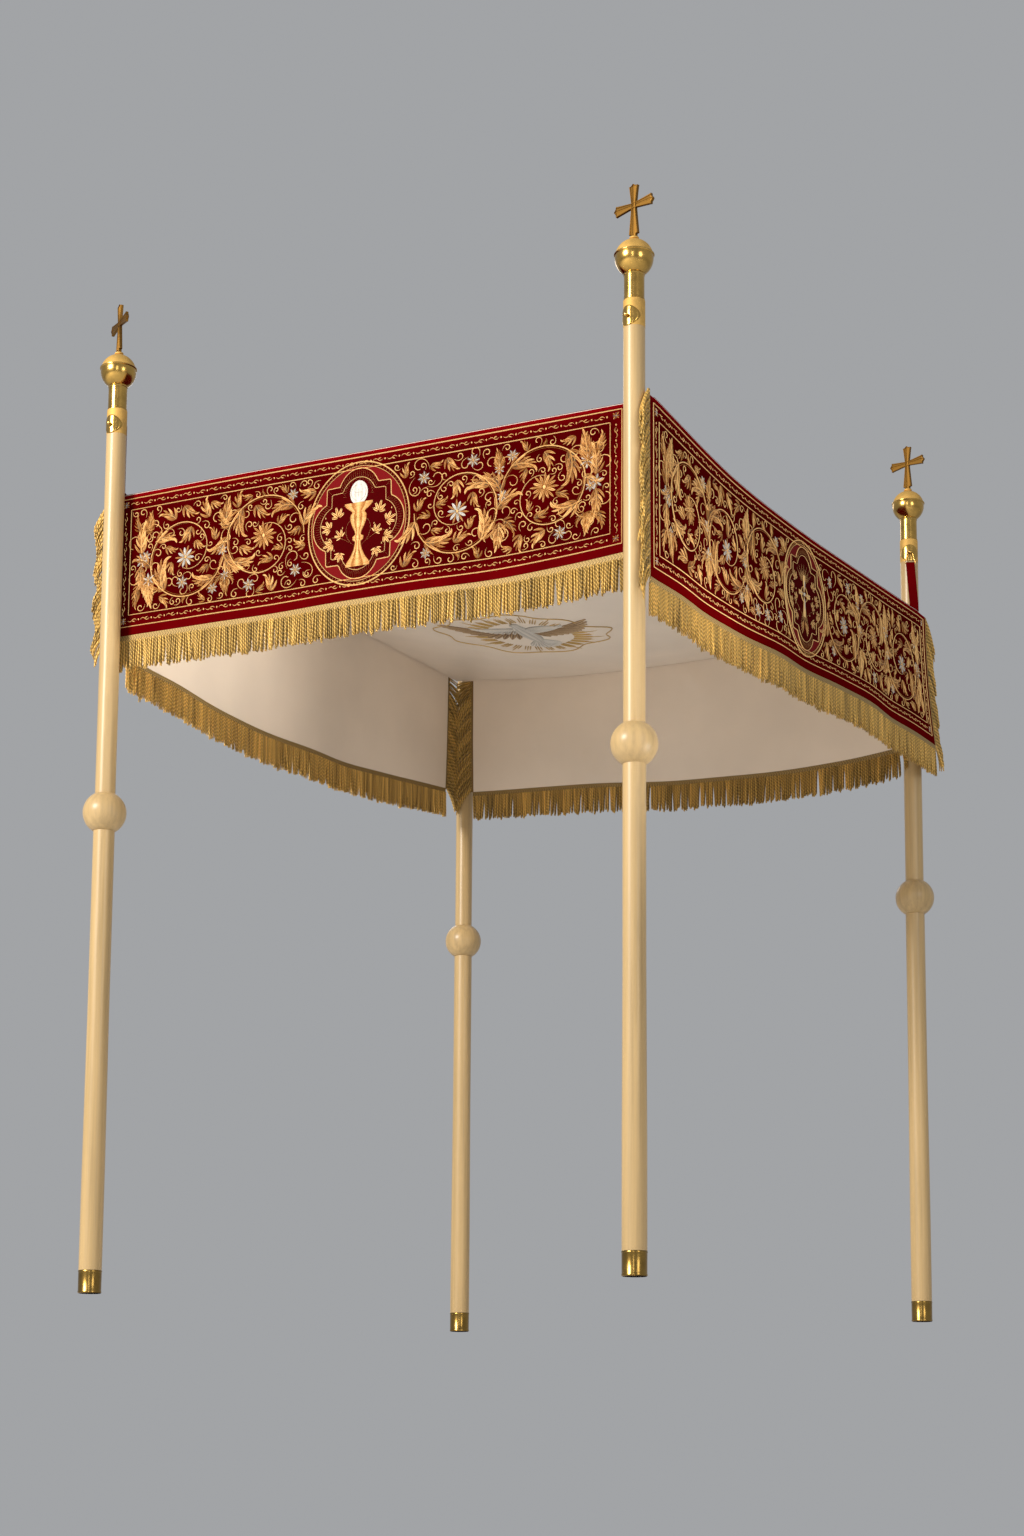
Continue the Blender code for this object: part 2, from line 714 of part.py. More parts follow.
def strap_outline(key):
    """Side view of a strap as splines of (distance from the pole axis, height)."""
    floor = strap_floor(key)
    if not POLES[key][3]:
        near = STAFF_RADIUS + 0.0008
        far = near + 0.0022
        top = BOSS_Z + 0.011
        return [[(near, top), (far, top), (far, floor + 0.006), (far + 0.003, floor + 0.0022),
                 (far + STRAP_FOOT, floor + 0.0022), (far + STRAP_FOOT, floor), (near, floor)]]
    hole = RING_WIRE + SEAM_GAP
    skin = hole + STRAP_CLOTH
    outer = [(RING_REACH + skin * cos(a), BAR_Z + skin * sin(a)) for a in np.linspace(0, pi, 7)]
    outer += [(RING_REACH - skin, floor), (RING_REACH + STRAP_FOOT, floor),
              (RING_REACH + STRAP_FOOT, floor + 0.0022), (RING_REACH + skin, floor + 0.006)]
    inner = [(RING_REACH + hole * cos(a), BAR_Z + hole * sin(a)) for a in np.linspace(0, pi, 5)]
    inner += [(RING_REACH - hole, floor + 0.012), (RING_REACH + hole, floor + 0.012)]
    return [outer, inner]


def make_strap(key, group, cutters, material):
    """Velvet strap from the boss down to the roof's corner, with a foot sewn flat on the roof."""
    origin, facing, across = strap_frame(key)
    curve = bpy.data.curves.new(f"strap_outline_{key}", "CURVE")
    curve.dimensions = "2D"
    curve.fill_mode = "BOTH"
    curve.extrude = STRAP_WIDTH / 2
    for outline in strap_outline(key):
        spline = curve.splines.new("POLY")
        spline.points.add(len(outline) - 1)
        for point, (reach, height) in zip(spline.points, outline):
            point.co = (reach, height, 0.0, 1.0)
        spline.use_cyclic_u = True
    place = Matrix((
        (facing.x, 0, -across.x, origin.x), (facing.y, 0, -across.y, origin.y),
        (0, 1, 0, 0), (0, 0, 0, 1)))
    strap = curve_to_object(f"strap_{key}", curve, place, group, material)
    drift = STRAP_DRIFT[key]
    for vert in strap.data.vertices:
        share = np.clip((BAR_Z - vert.co.y) / (BAR_Z - 2.02), 0.0, 1.0)
        vert.co.z -= drift * share
    if not POLES[key][3]:
        start = origin + facing * (STAFF_RADIUS - 0.004) + Vector((0, 0, BOSS_Z))
        eyelet = cylinder_along(f"strap_eyelet_{key}", STUD_NECK + SEAM_GAP, start,
                                start + facing * 0.012, 12, cutters)
        hide_cutter(eyelet)
        boolean(strap, eyelet, "DIFFERENCE")
    return strap


def main():
    """Build every piece, then centre the whole on its bounding box."""
    group, cutters = clear_scene()
    wood, polished, satin, velvet, lining, gold = (make_material(name) for name in MATERIALS)
    pieces = []
    for key in POLES:
        pieces.append(make_ferrule(key, group, polished))
        pieces.append(make_staff_lower(key, group, wood))
        pieces.append(make_knob(key, group, wood))
        pieces.append(make_staff_upper(key, group, cutters, wood))
        pieces.append(make_finial_cup(key, group, polished))
        pieces.append(make_finial_dome(key, group, satin))
        pieces.append(make_cross(key, group, satin))
        pieces.append(make_boss(key, group, cutters, polished))
        pieces.append(make_strap(key, group, cutters, velvet))
        if POLES[key][3]:
            pieces.append(make_ring(key, group, polished))
    for side in SIDES:
        pieces.append(make_side_sheet(side, "velvet", group, velvet))
        pieces.append(make_side_sheet(side, "lining", group, lining))
        pieces.append(make_bottom_fringe(side, group, gold))
    for side, end, reach, rise in SIDE_FRINGES:
        pieces.append(make_side_fringe(side, end, reach, rise, group, gold))
    pieces.append(make_roof(group, lining))
    centre_on_box(pieces, cutters)


def centre_on_box(pieces, cutters):
    """Move everything in plan so that the bounding box is centred on the origin."""
    bpy.context.view_layer.update()
    graph = bpy.context.evaluated_depsgraph_get()
    corners = []
    for item in pieces:
        evaluated = item.evaluated_get(graph)
        corners += [evaluated.matrix_world @ Vector(corner) for corner in evaluated.bound_box]
    cloud = np.array([corner[:] for corner in corners])
    middle = (cloud.min(axis=0) + cloud.max(axis=0)) / 2
    for item in [*pieces, *cutters.objects]:
        item.location.x -= middle[0]
        item.location.y -= middle[1]


main()
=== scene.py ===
"""Finished surfaces of a processional canopy: velvet sides with raised gold embroidery, satin
linings and ceiling, bullion fringes, lacquered poles and brass fittings.

Every shape is worked out on numpy grids around the frame's own measurements.
"""
from functools import partial
from math import acos, asin, cos, degrees, pi, radians, sin, sqrt, tau

import bpy
import numpy as np
from bpy.props import FloatProperty, FloatVectorProperty, PointerProperty
from mathutils import Matrix, Vector


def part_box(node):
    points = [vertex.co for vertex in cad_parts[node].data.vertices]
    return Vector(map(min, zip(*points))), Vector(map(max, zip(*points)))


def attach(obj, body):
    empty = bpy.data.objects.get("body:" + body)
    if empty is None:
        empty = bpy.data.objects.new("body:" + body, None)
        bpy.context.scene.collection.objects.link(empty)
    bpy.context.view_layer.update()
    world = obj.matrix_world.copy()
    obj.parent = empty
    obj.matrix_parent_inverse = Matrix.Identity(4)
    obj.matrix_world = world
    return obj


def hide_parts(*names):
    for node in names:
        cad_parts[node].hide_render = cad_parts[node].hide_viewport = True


bl_info = {
    "name": "Processional canopy",
    "version": (1, 0, 0),
    "blender": (4, 5, 0),
    "location": "3D View > Sidebar > Canopy",
    "description": "Velvet, embroidery, fringe, poles and brass of a processional canopy",
    "category": "Object",
}

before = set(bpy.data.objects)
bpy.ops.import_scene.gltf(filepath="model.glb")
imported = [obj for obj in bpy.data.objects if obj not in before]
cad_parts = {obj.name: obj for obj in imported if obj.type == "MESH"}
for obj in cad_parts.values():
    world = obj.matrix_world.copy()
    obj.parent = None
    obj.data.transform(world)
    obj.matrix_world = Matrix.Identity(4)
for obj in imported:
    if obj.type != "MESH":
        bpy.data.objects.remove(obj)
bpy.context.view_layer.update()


def node_box(node):
    """A node's lowest and highest corner as arrays."""
    low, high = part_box(node)
    return np.array(low), np.array(high)


def node_levels(node):
    """A node's lowest and highest level."""
    return [float(corner[2]) for corner in node_box(node)]


# Poles, in the order front left, front right, back right, back left
POLES = ("a", "b", "c", "e")
POLE_AXIS = {key: sum(node_box(f"foot_ferrule_{key}"))[:2] / 2 for key in POLES}
CENTRE = sum(POLE_AXIS.values()) / 4
SPACING_X = float(POLE_AXIS["b"][0] - POLE_AXIS["a"][0])
SPACING_Y = float(POLE_AXIS["c"][1] - POLE_AXIS["b"][1])

# Heights and radii of the turned pieces, read from the frame
FERRULE_TOP = node_levels("foot_ferrule_a")[1]
STAFF_LOW_TOP = node_levels("staff_lower_a")[1]
STAFF_UP_LOW, STAFF_UP_TOP = node_levels("staff_upper_c")
KNOB_LOW, KNOB_HIGH = node_levels("knob_a")
NECK_BOTTOM, LIP_Z = node_levels("finial_cup_a")
DOME_LOW, DOME_TOP = node_levels("finial_dome_a")
CROSS_BASE, POLE_TOP = node_levels("cross_a")
FOOT_RADIUS = 0.0278
GRIP_RADIUS = 0.0262
STAFF_RADIUS = 0.025
KNOB_RADIUS = 0.0535
NECK_RADIUS = 0.0235
BALL_RADIUS = 0.0445
BALL_Z = 2.32
LIP_RADIUS = 0.0465
BAND_DROP = 0.066
EDGE = 0.0012
PROUD = 0.0002
TURN_STEPS = 64

# Cross
CROSS_SPAN = 0.118
CROSS_CENTRE = 2.448
CROSS_ARM = 0.016
CROSS_TIP = 0.0245
CROSS_THICK = 0.008
CROSS_TURN = {"a": -35, "b": -16, "c": -17, "e": -28}

# Boss, ring and strap
BOSS_Z = 2.174
BOSS_FACING = {"a": -92, "b": -101, "c": -65, "e": -80}
HUNG_ON_RING = ("c", "e")
PLATE_RADIUS = 0.024
PLATE_THICK = 0.0018
STUD_NECK = 0.003
STUD_HEAD = 0.0055
RING_REACH = 0.0312
RING_WIRE = 0.0014
BAR_Z = 2.14
BAR_WIDTH = 0.029
STRAP_WIDTH = 0.024
STRAP_CLOTH = 0.0018
STRAP_FOOT = 0.016
STRAP_DRIFT = {"a": 0.0, "b": 0.0, "c": 0.009, "e": 0.004}

# Cloth
VELVET = 0.002
LINING = 0.0011
SEAM_GAP = 0.0004
ROOF = 0.002
HEM = 0.008

# Each side: axis it runs along, outward sign, offset of its inner velvet face, start and end
# counted outward from the pole axes, and which way its right hand points along the axis
SIDES = {
    "front": ("x", -1, -0.036, 0.018, -0.03, 1),
    "back": ("x", 1, -0.036, -0.045, -0.03, -1),
    "left": ("y", -1, 0.012, -0.095, -0.09, -1),
    "right": ("y", 1, 0.032, -0.012, 0.028, 1),
}
HANG = {
    "front": {"top": (2.002, 2.001, 1.996, 1.993, 1.99),
              "bottom": (1.636, 1.631, 1.63, 1.624, 1.642),
              "flare": (0.0, 0.003, 0.006, 0.003, 0.002)},
    "back": {"top": (1.986, 1.95, 1.94, 1.95, 1.994),
             "bottom": (1.634, 1.618, 1.594, 1.582, 1.61),
             "flare": (0.004, 0.014, 0.018, 0.012, 0.003)},
    "left": {"top": (2.002, 1.99, 1.984, 1.984, 1.986),
             "bottom": (1.612, 1.58, 1.576, 1.6, 1.642),
             "flare": (0.004, 0.012, 0.016, 0.012, 0.004)},
    "right": {"top": (1.99, 1.951, 1.952, 1.972, 1.994),
              "bottom": (1.564, 1.57, 1.594, 1.616, 1.617),
              "flare": (0.001, 0.004, 0.009, 0.015, 0.024)},
}
WAVES = {
    "front": ((0.0024, 2.0, 0.3), (0.0012, 5.0, 1.1)),
    "back": ((0.006, 2.5, 0.0), (0.0022, 4.5, 0.7)),
    "left": ((0.006, 3.0, 1.2), (0.0022, 5.0, 0.2)),
    "right": ((0.005, 3.0, 0.8), (0.0018, 5.5, 0.0)),
}
ROOF_SAG = 0.088
ROOF_WAVES = ((0.006, 2.0, 3.0), (0.003, 5.0, 2.0))

# Fringe
STRIP = 0.017
SIDE_STRIP = 0.009
BRAID_RELIEF = 0.00055
BRAID_REPEAT = 0.008
SEWN = (VELVET - LINING - SEAM_GAP) / 2
SIDE_FRINGES = (
    ("front", 0, 0.052, 0.0), ("front", 1, 0.018, 0.0),
    ("back", 0, 0.038, 0.0), ("back", 1, 0.018, 0.0),
    ("left", 0, 0.034, 0.0), ("left", 1, 0.042, 0.0),
    ("right", 0, 0.036, 0.014), ("right", 1, 0.058, 0.0),
)

# Side fringes that bend inward to meet in front of the back left pole; their tone is lowered as painted shade
# in that corner
MEETING = (("left", 1), ("back", 0))

# Embroidery, on a design as wide as the side and this tall
DESIGN_HEIGHT = 0.372
LINE_TOP = 0.011
LINE_SIDE = 0.017
LINE_BOTTOM = 0.023
BAND = 0.03
# How far it stands off the pile, as a share of its strokes' heights
RELIEF = 0.75
# Half width of the narrowest gap that is still filled on each side
NARROWEST = {"front": 0.0112, "back": 0.0125, "left": 0.0125, "right": 0.0138}
# Half axes of the oval medallion
MEDALLION = (0.141, 0.156)

# Camera and stage
FRAME_HEIGHT = 1536
CAMERA_PLACE = (3.263, -6.256, -0.431)
CAMERA_YAW = 118.02
CAMERA_PITCH = 9.31
CAMERA_ROLL = 0.4
CAMERA_FOCUS = 2753.0
CAMERA_SHIFT = 260.0


# Directions: up, down, and level into the canopy with the way across it
UP = np.array((0.0, 0.0, 1.0))
DOWN = np.array((0.0, 0.0, -1.0))
INWARD = (np.array((0.0, 1.0, 0.0)), np.array((-1.0, 0.0, 0.0)))


def unit(vectors):
    """Vectors scaled to a length of one."""
    return vectors / np.linalg.norm(vectors, axis=-1, keepdims=True)


def circle(angles):
    """Points of the unit circle at angles in radians."""
    return np.stack((np.cos(angles), np.sin(angles)), axis=-1)


def full_turn(steps):
    """Angles spread evenly over a whole turn."""
    return np.arange(steps) / steps * tau


def stacked(*columns):
    """Arrays broadcast together and stacked along a new last axis."""
    return np.stack(np.broadcast_arrays(*columns), axis=-1)


# Mesh building

def add_object(name, data):
    """An object at the origin, linked to the scene."""
    added = bpy.data.objects.new(name, data)
    bpy.context.scene.collection.objects.link(added)
    return added


def signed_volume(points, faces):
    """Six times the volume inside the faces: fans of triangles summed about the origin."""
    total = 0.0
    for group in faces:
        corners = points[group]
        for k in range(1, group.shape[1] - 1):
            total += float((corners[:, 0] * np.cross(corners[:, k], corners[:, k + 1])).sum())
    return total


def face_outward(points, faces, uvs):
    """Faces and UVs turned over where they enclose a negative volume."""
    if signed_volume(points - points.mean(axis=0), faces) >= 0:
        return faces, uvs
    return [group[:, ::-1] for group in faces], [group[:, ::-1] for group in uvs]


def make_mesh(name, points, faces, uvs, tone, sharp):
    """A mesh from points (n, 3) and groups of faces (n, k).

    uvs holds one array (n, k, 2) for each group of faces. tone is one number a point.
    """
    loops = np.concatenate([group.ravel() for group in faces]).astype(np.int32)
    totals = np.concatenate([np.full(len(group), group.shape[1]) for group in faces])
    starts = np.concatenate(([0], np.cumsum(totals)[:-1])).astype(np.int32)
    mesh = bpy.data.meshes.new(name)
    mesh.vertices.add(len(points))
    mesh.vertices.foreach_set("co", points.astype(np.float32).ravel())
    mesh.loops.add(len(loops))
    mesh.loops.foreach_set("vertex_index", loops)
    mesh.polygons.add(len(totals))
    mesh.polygons.foreach_set("loop_start", starts)
    mesh.update(calc_edges=True)
    layer = mesh.uv_layers.new(name="UVMap")
    layer.data.foreach_set("uv", np.concatenate([g.reshape(-1, 2) for g in uvs]).astype(np.float32).ravel())
    attribute = mesh.attributes.new("tone", "FLOAT", "POINT")
    attribute.data.foreach_set("value", np.asarray(tone, dtype=np.float32).ravel())
    mesh.shade_smooth()
    mesh.set_sharp_from_angle(angle=radians(sharp))
    return mesh


def join_parts(parts):
    """One (points, faces, uvs, tone) from several, with the face numbers moved along."""
    points, faces, uvs, tone = [], [], [], []
    count = 0
    for part_points, part_faces, part_uvs, part_tone in parts:
        points.append(part_points.reshape(-1, 3))
        part_faces, part_uvs = face_outward(points[-1], part_faces, part_uvs)
        faces += [group + count for group in part_faces]
        uvs += part_uvs
        tone.append(np.broadcast_to(part_tone, part_points.shape[:-1]).ravel())
        count += points[-1].shape[0]
    return np.concatenate(points), faces, uvs, np.concatenate(tone)


def tubes(rings, uv_along, closed=False):
    """Faces and UVs of many tubes whose rings are (tube, ring, point around, 3).

    Neighbouring rings are joined by quads. Open tubes get a fan over each end.
    """
    count, length, around = rings.shape[:3]
    index = np.arange(count * length * around).reshape(count, length, around)
    spans = length if closed else length - 1
    grids = index, np.roll(index, -1, axis=2), np.broadcast_to(uv_along, (count, length))
    nearer, beside, along = (grid[:, :spans] for grid in grids)
    further, beyond, ahead = (np.roll(grid, -1, axis=1)[:, :spans] for grid in grids)
    quads = np.stack((nearer, beside, beyond, further), axis=-1).reshape(-1, 4)
    u, v, v_next = np.broadcast_arrays(np.arange(around) / around, along[..., None], ahead[..., None])
    u_next = u + 1 / around
    quad_uv = np.stack((np.stack((u, u_next, u_next, u), -1), np.stack((v, v, v_next, v_next), -1)), -1)
    if closed:
        return [quads], [quad_uv.reshape(-1, 4, 2)]
    caps = np.concatenate((index[:, 0, ::-1], index[:, -1]))
    return [quads, caps], [quad_uv.reshape(-1, 4, 2), np.zeros((*caps.shape, 2))]


def fanned_rings(rings, first, last):
    """Rings of points (ring, step, 3) joined by quads, with a fan to a point at each end."""
    count, steps = rings.shape[:2]
    index = np.arange(count * steps).reshape(count, steps)
    across = np.roll(index, -1, axis=1)
    quads = np.stack((index[:-1], index[1:], across[1:], across[:-1]), axis=-1).reshape(-1, 4)
    top = np.stack((np.full(steps, count * steps), index[0], across[0]), axis=-1)
    bottom = np.stack((np.full(steps, count * steps + 1), across[-1], index[-1]), axis=-1)
    points = np.concatenate((rings.reshape(-1, 3), [first, last]))
    return points, [quads, np.concatenate((top, bottom))]


def tube_part(rings, run, tone=0.5, closed=False):
    """One tube, or many, as a part of points, faces, UVs and tone."""
    rings = rings if rings.ndim == 4 else rings[None]
    return rings, *tubes(rings, run, closed), tone


def turned_part(profile, centre, steps=TURN_STEPS):
    """A closed solid of revolution: a profile of (radius, height) from top to bottom, turned
    about the vertical through centre, with a single point where it meets the axis."""
    profile = np.array(profile, dtype=float)
    inner = profile[1:-1]
    plan = centre + inner[:, None, :1] * circle(full_turn(steps))
    rings = np.concatenate((plan, np.broadcast_to(inner[:, None, 1:], (*plan.shape[:2], 1))), axis=-1)
    return fanned_rings(rings, (*centre, profile[0, 1]), (*centre, profile[-1, 1]))


def offsets(radius, level, *steps):
    """Profile points given as steps out from a radius and up from a level."""
    return [(radius + out, level + up) for out, up in steps]


def spread(points, count, closed=False):
    """Points spread evenly by distance along a flat line, how far along each lies, and its length."""
    spans = np.linalg.norm(np.diff(points, axis=0), axis=1)
    travelled = np.concatenate(([0], np.cumsum(spans)))
    at = np.linspace(0, travelled[-1], count, endpoint=not closed)
    line = np.stack([np.interp(at, travelled, points[:, k]) for k in (0, 1)], axis=-1)
    return line, at, travelled[-1]


def arc(radius, centre, start, end, steps):
    """Profile points of a circle's arc between two latitudes in degrees."""
    angles = np.radians(np.linspace(start, end, steps + 1))
    return [(radius * cos(a), centre + radius * sin(a)) for a in angles]


def sheet_part(front, back, uv):
    """A closed sheet between a front and a back grid of points (rows, columns, 3)."""
    rows, columns = front.shape[:2]
    count = rows * columns
    index = np.arange(count).reshape(rows, columns)
    face = np.stack((index[:-1, :-1], index[:-1, 1:], index[1:, 1:], index[1:, :-1]), axis=-1).reshape(-1,
        4)
    rim = np.concatenate((index[0, :-1], index[:-1, -1], index[-1, :0:-1], index[:0:-1, 0]))
    rim_next = np.roll(rim, -1)
    edge = np.stack((rim, rim + count, rim_next + count, rim_next), axis=-1)
    points = np.concatenate((front.reshape(-1, 3), back.reshape(-1, 3)))
    flat = np.concatenate((uv.reshape(-1, 2), uv.reshape(-1, 2)))
    faces = [face, (face + count)[:, ::-1], edge]
    return points, faces, [flat[group] for group in faces]


# Canopy shape, as the solids have it

def half_spacing(axis):
    """Half the distance between the poles along an axis."""
    return (SPACING_X if axis == "x" else SPACING_Y) / 2


def along_range(side):
    """Start and end of a side's cloth along its own axis."""
    axis, _, _, start, end, _ = SIDES[side]
    return -half_spacing(axis) - start, half_spacing(axis) + end


def roof_range(axis):
    """Roof's extent along an axis, out to the outer faces of the sides."""
    low, high = ("left", "right") if axis == "x" else ("front", "back")
    half = half_spacing(axis)
    return -half - SIDES[low][2] - VELVET, half + SIDES[high][2] + VELVET


def smooth_table(values, place):
    """Catmull-Rom curve through evenly spaced values, read at places from 0 to 1."""
    data = np.asarray(values, float)
    spans = len(data) - 1
    at = np.clip(np.asarray(place, float), 0.0, 1.0) * spans
    cell = np.minimum(at.astype(int), spans - 1)
    t = at - cell
    padded = np.concatenate(([2 * data[0] - data[1]], data, [2 * data[-1] - data[-2]]))
    p0, p1, p2, p3 = (padded[cell + k] for k in range(4))
    bend = 2 * p0 - 5 * p1 + 4 * p2 - p3
    twist = 3 * (p1 - p2) + p3 - p0
    return 0.5 * (2 * p1 + t * (p2 - p0 + t * (bend + t * twist)))


def roof_share(axis, along):
    """Share of the roof's inside that a place has reached: 0 and 1 over the two hems."""
    low, high = roof_range(axis)
    return np.clip((along - low - HEM) / (high - low - 2 * HEM), 0.0, 1.0)


def top_height(side, along):
    """Height of a side's top edge."""
    return smooth_table(HANG[side]["top"], roof_share(SIDES[side][0], along))


def side_surface(side, along, down):
    """Points of a side's inner velvet face, down being 0 at the top edge and 1 at the hem.

    The height runs straight from edge to hem. The face swings outward with the square of down,
    plus soft waves that grow from the top edge.
    """
    axis, sign, offset = SIDES[side][:3]
    place = roof_share(axis, along)
    top = top_height(side, along)
    bottom = smooth_table(HANG[side]["bottom"], place)
    swing = smooth_table(HANG[side]["flare"], place) * down ** 2
    fade = np.clip(place * (1 - place) * 8, 0.0, 1.0)
    for height, count, start in WAVES[side]:
        swing = swing + height * fade * down * np.sin(tau * count * place + start)
    other = half_spacing("y" if axis == "x" else "x")
    out = sign * (other + offset + swing)
    z = top + (bottom - top) * down
    x, y = (along, out) if axis == "x" else (out, along)
    return stacked(x + CENTRE[0], y + CENTRE[1], z)


def outward(side):
    """Unit vector out of a side's plane."""
    axis, sign = SIDES[side][:2]
    return np.array((0.0, sign, 0.0) if axis == "x" else (sign, 0.0, 0.0))


def axis_vector(side):
    """Unit vector along a side's axis."""
    return np.array((1.0, 0.0, 0.0) if SIDES[side][0] == "x" else (0.0, 1.0, 0.0))


def design_point(side, x, y, height, way=1):
    """A point of a side's design, y up and height off the pile. x runs to the right as seen from
    outside, or to the left where way is -1."""
    low, high = along_range(side)
    along = (low + high) / 2 + SIDES[side][5] * way * x
    down = 0.5 - y / DESIGN_HEIGHT
    lift = np.asarray(height * RELIEF + VELVET)[..., None]
    return side_surface(side, along, down) + outward(side) * lift


def roof_height(x, y):
    """Height of the roof's under face: a patch blended between the four top edges, less a sag
    that is deepest in the middle, plus two soft waves. A flat hem runs over the sides."""
    x_low, x_high = roof_range("x")
    u = roof_share("x", x)
    v = roof_share("y", y)
    across = (1 - v) * top_height("front", x) + v * top_height("back", x)
    lengthways = (1 - u) * top_height("left", y) + u * top_height("right", y)
    corners = ((1 - u) * (1 - v) * top_height("front", x_low) + u * (1 - v) * top_height("front",
        x_high) + (1 - u) * v * top_height("back", x_low) + u * v * top_height("back", x_high))
    belly = (np.sin(pi * u) * np.sin(pi * v)).clip(0) ** 0.85
    height = across + lengthways - corners - ROOF_SAG * belly
    for depth, along_x, along_y in ROOF_WAVES:
        height = height + depth * belly * np.sin(tau * along_x * u + 0.6) * np.sin(tau * along_y * v)
    return height


# Materials

# Fixed colours: the crosses' brass, darkened to paint in the dark reflections of its surroundings, and dark,
# middle and light grey thread
DARKENED_CROSS_BRASS = (0.245, 0.122, 0.024)
GREY_SHADES = ((0.1, 0.055, 0.025), (0.31, 0.19, 0.09), (0.64, 0.46, 0.27))
# Length of fringe strand in which its ridges wind once around
TWIST_PITCH = 0.0095


def new_material(name, colour, roughness, metallic=0.0, **sockets):
    """A Principled material with constants set on its own sockets."""
    material = bpy.data.materials.new(name)
    material.use_nodes = True
    shader = material.node_tree.nodes["Principled BSDF"]
    shader.inputs["Base Color"].default_value = (*colour, 1.0)
    shader.inputs["Roughness"].default_value = roughness
    shader.inputs["Metallic"].default_value = metallic
    for label, value in sockets.items():
        shader.inputs[label.replace("_", " ")].default_value = value
    return material, material.node_tree, shader


def add_node(tree, kind, inputs=None, **settings):
    """A node with settings on it, and its inputs linked from sockets or set to values."""
    node = tree.nodes.new(kind)
    for label, value in settings.items():
        setattr(node, label, value)
    for label, value in (inputs or {}).items():
        if isinstance(value, bpy.types.NodeSocket):
            tree.links.new(value, node.inputs[label])
        else:
            node.inputs[label].default_value = value
    return node


def coordinates(tree, source, scale):
    """Object coordinates, or the piece's own UV map, stretched by three numbers."""
    place = add_node(tree, "ShaderNodeTexCoord").outputs[source]
    mapping = add_node(tree, "ShaderNodeMapping", {"Vector": place, "Scale": scale})
    return mapping.outputs["Vector"]


def noise(tree, scale, detail=3.0, rough=0.5, source="Object"):
    """A noise texture's value, as fine as three numbers say."""
    inputs = {"Vector": coordinates(tree, source, scale), "Scale": 1.0, "Detail": detail,
        "Roughness": rough}
    return add_node(tree, "ShaderNodeTexNoise", inputs).outputs["Fac"]


def stripes(tree, stretch, scale, distortion=0.0, direction="X"):
    """A sine wave texture's value along one direction of the UV map."""
    inputs = {"Vector": coordinates(tree, "UV", stretch), "Scale": scale, "Distortion": distortion}
    node = add_node(tree, "ShaderNodeTexWave", inputs, wave_type="BANDS", bands_direction=direction,
        wave_profile="SIN")
    return node.outputs["Fac"]


def colour_by(tree, shader, value, stops):
    """Base colour from a ramp over a value: stops of (place, colour)."""
    node = add_node(tree, "ShaderNodeValToRGB", {"Fac": value})
    ends = node.color_ramp.elements
    while len(ends) < len(stops):
        ends.new(0.5)
    for element, (place, colour) in zip(ends, stops):
        element.position = place
        element.color = (*colour, 1.0)
    tree.links.new(node.outputs["Color"], shader.inputs["Base Color"])


def maths(tree, operation, *values):
    """A Math node's value. MULTIPLY_ADD gives the first times the second, plus the third."""
    node = tree.nodes.new("ShaderNodeMath")
    node.operation = operation
    for socket, value in zip(node.inputs, values):
        if isinstance(value, bpy.types.NodeSocket):
            tree.links.new(value, socket)
        else:
            socket.default_value = value
    return node.outputs["Value"]


def bump(tree, shader, height, strength, distance):
    """Link a height to the shader's normal through a Bump node."""
    node = add_node(tree, "ShaderNodeBump", {"Height": height, "Strength": strength, "Distance": distance})
    tree.links.new(node.outputs["Normal"], shader.inputs["Normal"])


def tone_value(tree):
    """The tone that each point of a piece carries."""
    return add_node(tree, "ShaderNodeAttribute", attribute_name="tone").outputs["Fac"]


def scaled(colour, factor):
    """A colour made darker or lighter."""
    return tuple(min(1.0, channel * factor) for channel in colour[:3])


def wood_material(looks):
    """Cream lacquer over fine upright grain."""
    material, tree, shader = new_material("lacquered_wood", looks.wood, 0.38, Coat_Weight=0.18,
        Coat_Roughness=0.22, Specular_IOR_Level=0.35)
    fine = noise(tree, (90.0, 90.0, 2.4), 5.0, 0.6)
    broad = noise(tree, (9.0, 9.0, 0.8), 2.0)
    value = maths(tree, "MULTIPLY_ADD", fine, 0.65, maths(tree, "MULTIPLY", broad, 0.35))
    stops = ((0.34, scaled(looks.wood, 0.8)), (0.5, looks.wood), (0.66, scaled(looks.wood, 1.16)))
    colour_by(tree, shader, value, stops)
    bump(tree, shader, fine, 0.05, 0.0006)
    return material


def brass_material(name, colour, roughness, mottling, brushed=False, metallic=1.0):
    """Brass with soft mottling, faint handling marks and, where brushed, fine turned lines."""
    material, tree, shader = new_material(name, colour, roughness, metallic)
    mottle = noise(tree, (mottling,) * 3, 4.0, 0.6)
    stops = ((0.3, scaled(colour, 0.78)), (0.55, colour), (0.75, scaled(colour, 1.12)))
    colour_by(tree, shader, mottle, stops)
    rough = maths(tree, "MULTIPLY_ADD", mottle, 0.12, roughness - 0.06)
    tree.links.new(rough, shader.inputs["Roughness"])
    fine = noise(tree, (60.0, 60.0, 900.0 if brushed else 60.0), 2.0)
    bump(tree, shader, fine, 0.06 if brushed else 0.02, 0.0004)
    return material


